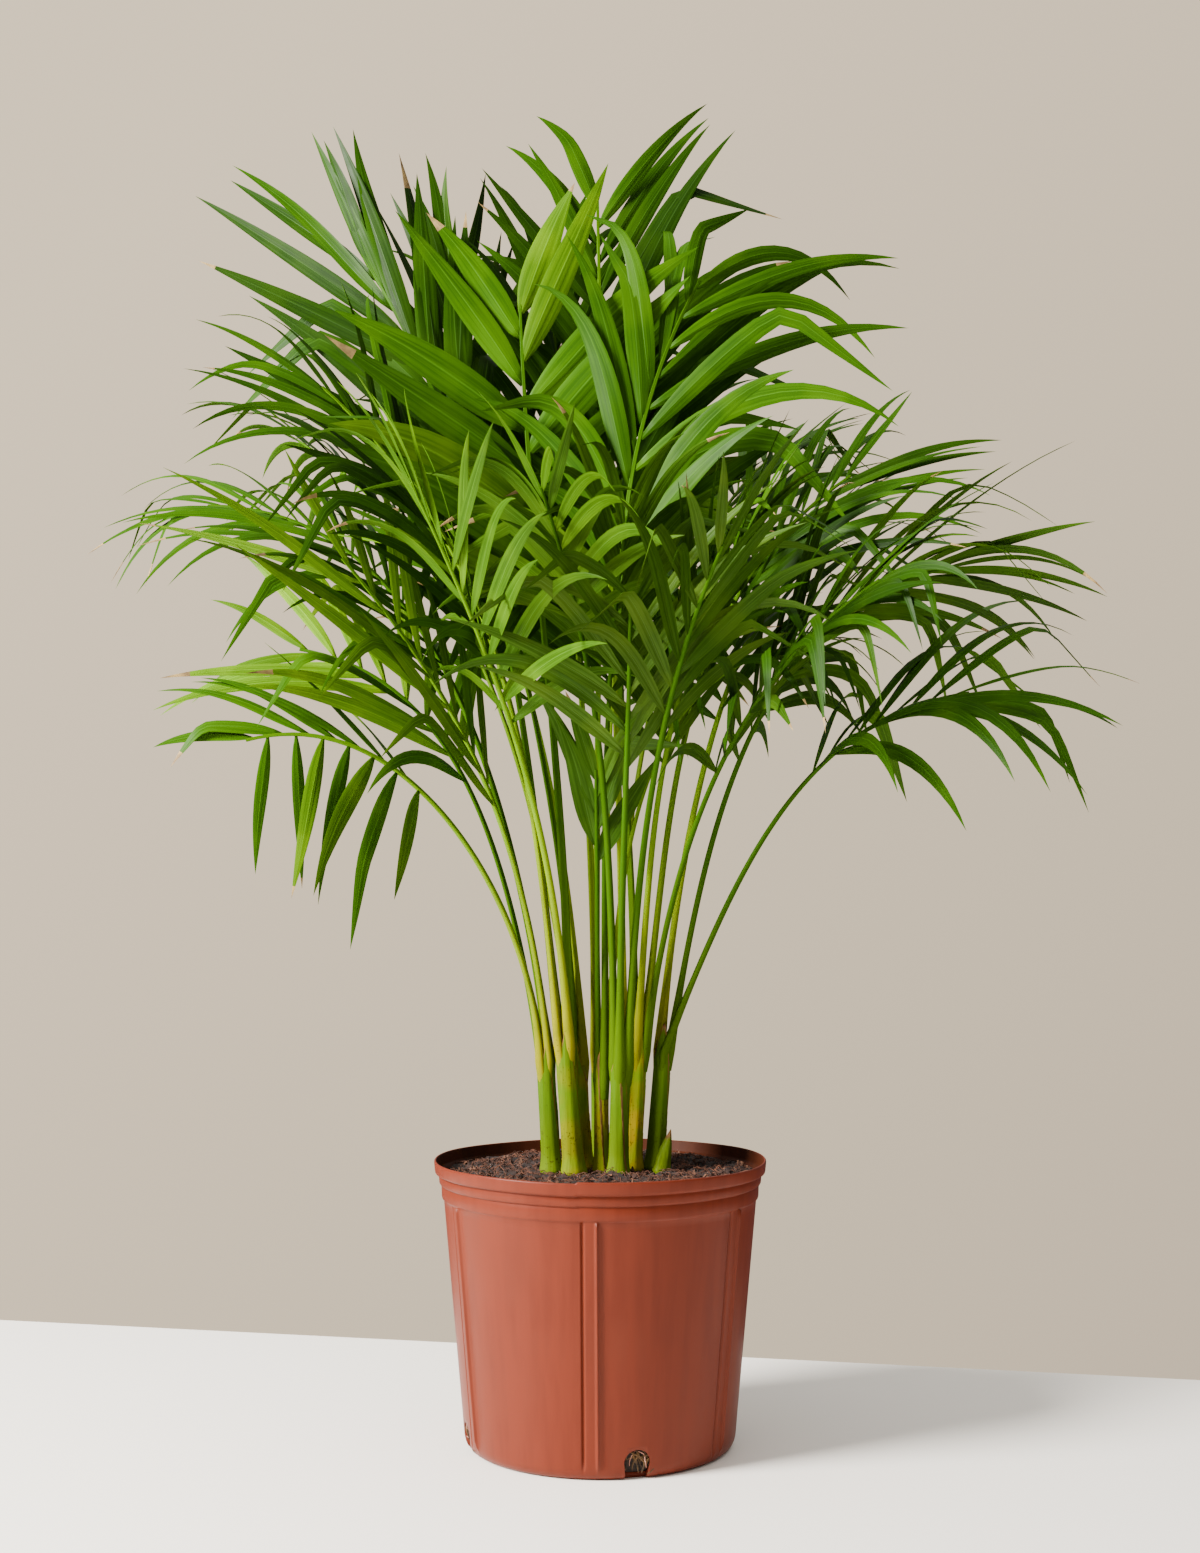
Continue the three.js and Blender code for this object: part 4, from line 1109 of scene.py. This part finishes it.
def makeShoot(name, shoot, material):
    number = list(shoots).index(name)
    angles = evenAngles(sheath["around"])
    mouthWay, seamWay = (
        math.radians(sheath[part][0] + sheath[part][1] * (chance(number, use, use) - 0.5))
        for part, use in (("mouth", 1), ("seam", 2))
    )
    tongue = 0.5 - 0.5 * np.cos(angles - mouthWay)  # 0 at the open side, 1 where the sheath ends in its point
    second = 0.5 + 0.5 * np.cos(angles - mouthWay - sheath["secondTurn"])
    top = shoot["height"] - sheath["low"] + sheath["tongue"] * tongue ** sheath["tonguePoint"]
    top = top + sheath["second"] * second ** sheath["secondPoint"]
    rings, margins, climbs = [], [], []
    for share in np.linspace(0, 1, sheath["rows"]):
        h = top * share
        radius = (shoot["foot"] + (shoot["top"] - shoot["foot"]) * h / shoot["height"]) * flare(h, sheath)
        turns = [(angles - seamWay - wrap["start"] + wrap["wind"] * share) % fullTurn for wrap in wraps]
        for wrap, way in zip(wraps, turns):
            radius = radius + wrap["step"] * (way / fullTurn - 0.5)
        radius = radius + sheath["ribRise"] * np.sin(angles * sheath["ribs"] + sheath["ribWind"] * share)
        neck = smooth(shoot["height"] - sheath["neck"][0], shoot["height"] + sheath["neck"][1], h)
        radius = radius * (1 - sheath["neckLoss"] * neck)
        rings.append(caneRing(shoot, share, h, radius, angles))
        paper = smooth(shoot["height"] + sheath["paperFrom"][0], shoot["height"] + sheath["paperFrom"][1], h)
        margin = sheath["lip"] * smooth(sheath["lipFrom"], 1, share) + sheath["paper"] * paper
        for wrap, way in zip(wraps, turns):
            edge = bell(np.minimum(way, fullTurn - way) * radius, wrap["width"])
            margin = np.maximum(margin, wrap["strength"] * edge)
        margins.append(margin)
        climbs.append(np.clip(h / sheath["climbTop"], 0, 1))
    mouth, centre = rings[-1], rings[-1].mean(0)
    for shrink, low in sheath["throat"]:
        ring = centre + (mouth - centre) * np.array([shrink, shrink, low])
        rings.append(ring - np.array([0, 0, sheath["throatDrop"]]))
        margins.append(np.full(sheath["around"], sheath["throatMargin"]))
        climbs.append(climbs[sheath["rows"] - 1])
    tone = chance(number, 5, 5)
    finishCane("shoot_sheath_" + name, "shoot_" + name, rings, margins, climbs, 0, tone, material)


def makeStub(material):
    angles = evenAngles(stubMake["around"])
    rings, margins, climbs = [], [], []
    for share in np.linspace(0, 1, stubMake["rows"]):
        h = stub["height"] * share * (1 + stubMake["slant"] * np.cos(angles - stubMake["slantTurn"]) * share)
        narrowed = stub["foot"] * (1 - share ** stubMake["point"]) + stub["top"] * stubMake["waist"] * share
        bulge = stubMake["bulge"] * np.cos(stubMake["bulges"] * angles + stubMake["bulgeWind"] * share)
        radius = narrowed * flare(h, stubMake) * (1 + bulge)
        radius = radius + stubMake["ribRise"] * np.sin(stubMake["ribs"] * angles)
        rings.append(caneRing(stub, share, h, radius, angles))
        seamTurn = (angles - stubMake["seam"] + stubMake["seamWind"] * share) % fullTurn
        dry = smooth(stubMake["dryFrom"], 1, share)
        margins.append(np.maximum(bell(seamTurn - math.pi, stubMake["seamWidth"]), dry))
        climbs.append(np.full(len(angles), share * stubMake["climb"]))
    finishCane("dry_stub", "shoot_stub", rings, margins, climbs, 1, stubMake["tone"], material)


# Finishes. Colours are sRGB from 0 to 255, darker and lighter multiply them, and scales are to the metre.
leafLook = {
    "gloss": 0.055, "roughness": (0.36, 0.5), "stretch": (11, 1.1, 1), "vein": (0.42, 0.58), "streak": 0.7,
    "veinGain": 2, "veinLift": 0.012, "ridgeWidth": 0.04, "ridge": 0.5, "blotchScale": 38.0, "blotch": 0.3,
    "paintedGlowScale": 23.0, "glow": 0.55, "darker": (0.42, 0.52, 0.34, 1), "lighter": (1.6, 1.35, 0.9, 1),
    "bump": (0.35, 0.0004), "dryScale": 120.0, "dry": {0.3: (92, 70, 36), 0.7: (168, 140, 84)},
}


def leafEffect():
    look = leafLook
    tree, given, out = newEffect(
        "leafVeins", ("Tone", "Color", (0.1, 0.3, 0.05, 1)), ("Vein", "Color", (0.3, 0.5, 0.1, 1)),
        ("Streak", "Float", look["streak"]))
    tone, spot = given["Tone"], objectPlace(tree)
    uv = node(tree, "ShaderNodeUVMap", uv_map="placeMap").outputs[0]
    wide, along = node(tree, "ShaderNodeSeparateXYZ", {0: uv}).outputs[:2]
    veins = noiseAt(vectorCalc("MULTIPLY", uv, look["stretch"]), 1.0, 2.0)
    blotch = noiseAt(spot, look["blotchScale"], 3.0)
    glow = noiseAt(spot, look["paintedGlowScale"], 1.0)
    off = calc("ABSOLUTE", calc("SUBTRACT", wide, 0.5))
    ridge = remap(off, 0.0, look["ridgeWidth"], 1.0, 0.0)
    darker = mixColour(1.0, tone, look["darker"], "MULTIPLY")
    lighter = mixColour(1.0, tone, look["lighter"], "MULTIPLY")
    colour = mixColour(times(remap(veins, *look["vein"]), given["Streak"]), tone, darker)
    colour = mixColour(remap(blotch, 0.4, 0.75, 0.0, look["blotch"]), colour, darker)
    # Painted light: brighter, yellower patches stand for light shining through the leaflets
    colour = mixColour(remap(glow, 0.5, 0.68, 0.0, look["glow"]), colour, lighter)
    colour = mixColour(times(ridge, look["ridge"]), colour, given["Vein"])
    height = times(calc("ADD", veins, ridge), remap(along, 0.35, 0.8, 1.0, 0.0))
    roughness = remap(blotch, 0.3, 0.7, *look["roughness"])
    wire(out, {"Colour": colour, "Height": height, "Roughness": roughness})
    return tree


def dress(shader, effect, values, relief):  # puts an effect on a material, with its own values
    given = node(shader.id_data, "ShaderNodeGroup", values, node_tree=effect).outputs
    wire(shader, {
        "Base Color": given["Colour"], "Roughness": given["Roughness"],
        "Normal": bump(given["Height"], *relief)})


def leafMaterials():
    look, effect = leafLook, leafEffect()
    made = []
    for name in tones:
        for part, colour in zip(("upper", "under"), tones[name]):
            tone = linear(colour)
            vein = (*(min(1, c * look["veinGain"] + look["veinLift"]) for c in tone), 1)
            material, shader = newMaterial(f"leaf_{name}_{part}", 0.45, look["gloss"])
            dress(shader, effect, {"Tone": (*tone, 1), "Vein": vein}, look["bump"])
            made.append(material)
    material, shader = newMaterial("leaf_dry_tip", 0.75)
    patch = noiseAt(objectPlace(shader.id_data), look["dryScale"], 3.0)
    wire(shader, {"Base Color": ramp(patch, look["dry"])})
    return made + [material]


def attribute(tree, name):
    return node(tree, "ShaderNodeAttribute", attribute_name=name).outputs["Fac"]


stalkLook = {
    "gloss": 0.03, "roughness": (0.38, 0.52), "bump": (0.2, 0.0006),
    "yellow": {
        0.0: (128, 122, 0), 0.12: (114, 128, 0), 0.45: (92, 128, 0), 0.75: (80, 120, 0), 1.0: (66, 106, 0)},
    "green": {0.0: (66, 92, 0), 0.3: (46, 80, 0), 0.75: (44, 82, 0), 1.0: (46, 82, 2)},
    "greenFrom": (0.4, 0.62),
    "mottle": (58, 84, 0), "mottleScale": 42.0, "speck": (48, 44, 18), "speckScale": 480.0,
    "cloudScale": 55.0,
}


def ribMaterial():
    look = stalkLook
    material, shader = newMaterial("stalkSkin", 0.5, look["gloss"])
    share, tone = (attribute(shader.id_data, name) for name in ("ribShare", "ribTone"))
    spot = objectPlace(shader.id_data)
    yellow, green = ramp(share, look["yellow"]), ramp(share, look["green"])
    mottle = noiseAt(spot, look["mottleScale"], 3.0)
    speck = noiseAt(spot, look["speckScale"], 2.0)
    cloud = noiseAt(spot, look["cloudScale"], 1.0)
    base = mixColour(remap(tone, *look["greenFrom"]), yellow, green)
    base = mixColour(remap(mottle, 0.5, 0.78, 0.0, 0.4), base, paint(look["mottle"]))
    near = times(remap(share, 0.02, 0.25, 1.0, 0.0), remap(cloud, 0.46, 0.62))
    dots = times(remap(speck, 0.64, 0.7), near)
    wire(shader, {
        "Base Color": mixColour(times(dots, 0.85), base, paint(look["speck"])),
        "Roughness": remap(mottle, 0.3, 0.7, *look["roughness"]),
        "Normal": bump(mottle, *look["bump"])})
    return material


sheathLook = {
    "gloss": 0.04, "roughness": (0.36, 0.6), "bump": (0.5, 0.0006), "stretch": (700, 700, 26),
    "fresh": {0.0: (134, 136, 2), 0.15: (120, 134, 0), 0.6: (98, 128, 0), 1.0: (92, 122, 0)},
    "warm": {0.0: (146, 118, 2), 0.3: (150, 128, 0), 1.0: (124, 124, 0)},
    "green": {0.0: (86, 106, 6), 0.5: (66, 96, 0), 1.0: (74, 104, 0)}, "streak": (66, 84, 6),
    "brown": {0.35: (84, 44, 36), 0.65: (146, 96, 66)}, "margin": 0.8, "patchScale": 34.0,
    "speck": (50, 42, 22), "speckScale": 560.0,
}


def shootMaterial():
    look = sheathLook
    material, shader = newMaterial("sheathSkin", 0.5, look["gloss"])
    margin, climb, tone = (attribute(shader.id_data, name) for name in ("margin", "climb", "shootTone"))
    spot = objectPlace(shader.id_data)
    streak = noiseAt(vectorCalc("MULTIPLY", spot, look["stretch"]), 1.0, 4.0)
    patch = noiseAt(spot, look["patchScale"], 2.0)
    speck = noiseAt(spot, look["speckScale"], 2.0)
    fresh, warm, green = (ramp(climb, look[name]) for name in ("fresh", "warm", "green"))
    base = mixColour(remap(patch, 0.42, 0.58), fresh, warm)
    base = mixColour(remap(tone, 0.35, 0.8), base, green)
    base = mixColour(remap(streak, 0.45, 0.72, 0.0, 0.5), base, paint(look["streak"]))
    dryness = times(remap(margin, 0.25, 0.8), look["margin"])
    base = mixColour(dryness, base, ramp(streak, look["brown"]))
    dots = times(remap(speck, 0.62, 0.67), remap(patch, 0.45, 0.6))
    wire(shader, {
        "Base Color": mixColour(times(dots, 0.8), base, paint(look["speck"])),
        "Roughness": remap(streak, 0.3, 0.7, *look["roughness"]),
        "Normal": bump(streak, *look["bump"])})
    return material


potLook = {
    "cloudScale": 16.0, "stretch": (120, 120, 9), "grainScale": 1400.0, "darker": (0.86, 0.84, 0.84, 1),
    "roughness": (0.34, 0.46), "bump": (0.12, 0.0003),
    "faces": {
        "pot_outside": {"base": (100, 39, 23), "dust": (112, 54, 38), "amount": 0.35, "gloss": 0.13},
        # The inside's base is darker all over than the outside's, and its dark brown patches cover it at full
        # strength
        "pot_inside": {"base": (62, 30, 18), "dust": (34, 26, 15), "amount": 1.0, "gloss": 0.02},
    },
}


def mouldedEffect():  # fine moulded grain, soft streaks and dust, for the pot's two faces
    look = potLook
    tree, given, out = newEffect(
        "mouldedGrain", ("Base", "Color", (0.5, 0.2, 0.1, 1)), ("Dust", "Color", (0.6, 0.45, 0.35, 1)),
        ("Amount", "Float", 0.3))
    spot = objectPlace(tree)
    cloud = noiseAt(spot, look["cloudScale"], 5.0)
    streak = noiseAt(vectorCalc("MULTIPLY", spot, look["stretch"]), 1.0, 3.0)
    worn = times(remap(cloud, 0.45, 0.75), remap(streak, 0.35, 0.7))
    dark = mixColour(1.0, given["Base"], look["darker"], "MULTIPLY")
    base = mixColour(remap(streak, 0.4, 0.65), given["Base"], dark)
    wire(out, {
        "Colour": mixColour(times(worn, given["Amount"]), base, given["Dust"]),
        "Height": noiseAt(spot, look["grainScale"], 2.0),
        "Roughness": remap(cloud, 0.3, 0.7, *look["roughness"])})
    return tree


def potMaterials():
    effect = mouldedEffect()
    made = []
    for name, face in potLook["faces"].items():
        material, shader = newMaterial(name, 0.42, face["gloss"])
        values = {"Base": paint(face["base"]), "Dust": paint(face["dust"]), "Amount": face["amount"]}
        dress(shader, effect, values, potLook["bump"])
        made.append(material)
    return made


# The dark and the light colour of each earthy thing, and how fine its grain is
earthLooks = {
    "mix_base": ((14, 7, 5), (36, 19, 13), 260.0), "mix_crumb": ((24, 11, 6), (60, 31, 18), 130.0),
    "mix_clod": ((18, 8, 5), (50, 26, 15), 110.0), "mix_bark_chip": ((54, 31, 18), (104, 66, 42), 190.0),
    "mix_grit": ((196, 188, 172), (232, 228, 218), 300.0), "fibre": ((44, 22, 13), (94, 54, 34), 150.0),
    "root": ((18, 12, 6), (92, 64, 30), 140.0), "root_pale": ((150, 92, 78), (206, 152, 132), 140.0),
}


def earthMaterial(name, roughness=0.95):
    dark, light, scale = earthLooks[name]
    material, shader = newMaterial(name, roughness)
    patch = noiseAt(objectPlace(shader.id_data), scale, 5.0)
    colour = ramp(patch, {0.34: dark, 0.66: light})
    wire(shader, {"Base Color": colour, "Normal": bump(patch, 0.8, 0.001)})
    return material


# The palm put together
addCamera()
addTable()
addLight()
print("stage ready")

makePot(potMaterials())
print("pot ready")

makeSoil(earthMaterial("mix_base"))
makeGrains({
    "mix_crumbs": earthMaterial("mix_crumb"), "mix_clods": earthMaterial("mix_clod"),
    "mix_bark": earthMaterial("mix_bark_chip", 0.85), "mix_white_grit": earthMaterial("mix_grit"),
})
threads = threadTree()
makeThreads("mix_fibres", fibrePaths(), earthMaterial("fibre"), threads)
for name, skin in (("hole_roots", "root"), ("hole_roots_pale", "root_pale")):
    makeThreads(name, rootPaths(roots[name]), earthMaterial(skin), threads, roots[name]["sides"])
print("mix ready")

plans = planFronds()
print("leaflets placed", sum(len(p["leaves"]) for p in plans), "of", sum(p["count"] for p in plans))
leafSkins = leafMaterials()
for side in ("crown", "left", "right", "back", "middle"):
    makeLeaves(plans, side, leafSkins)
makeRibs(plans, ribMaterial())
sheathSkin = shootMaterial()
for name, shoot in shoots.items():
    makeShoot(name, shoot, sheathSkin)
makeStub(sheathSkin)
print("palm ready")
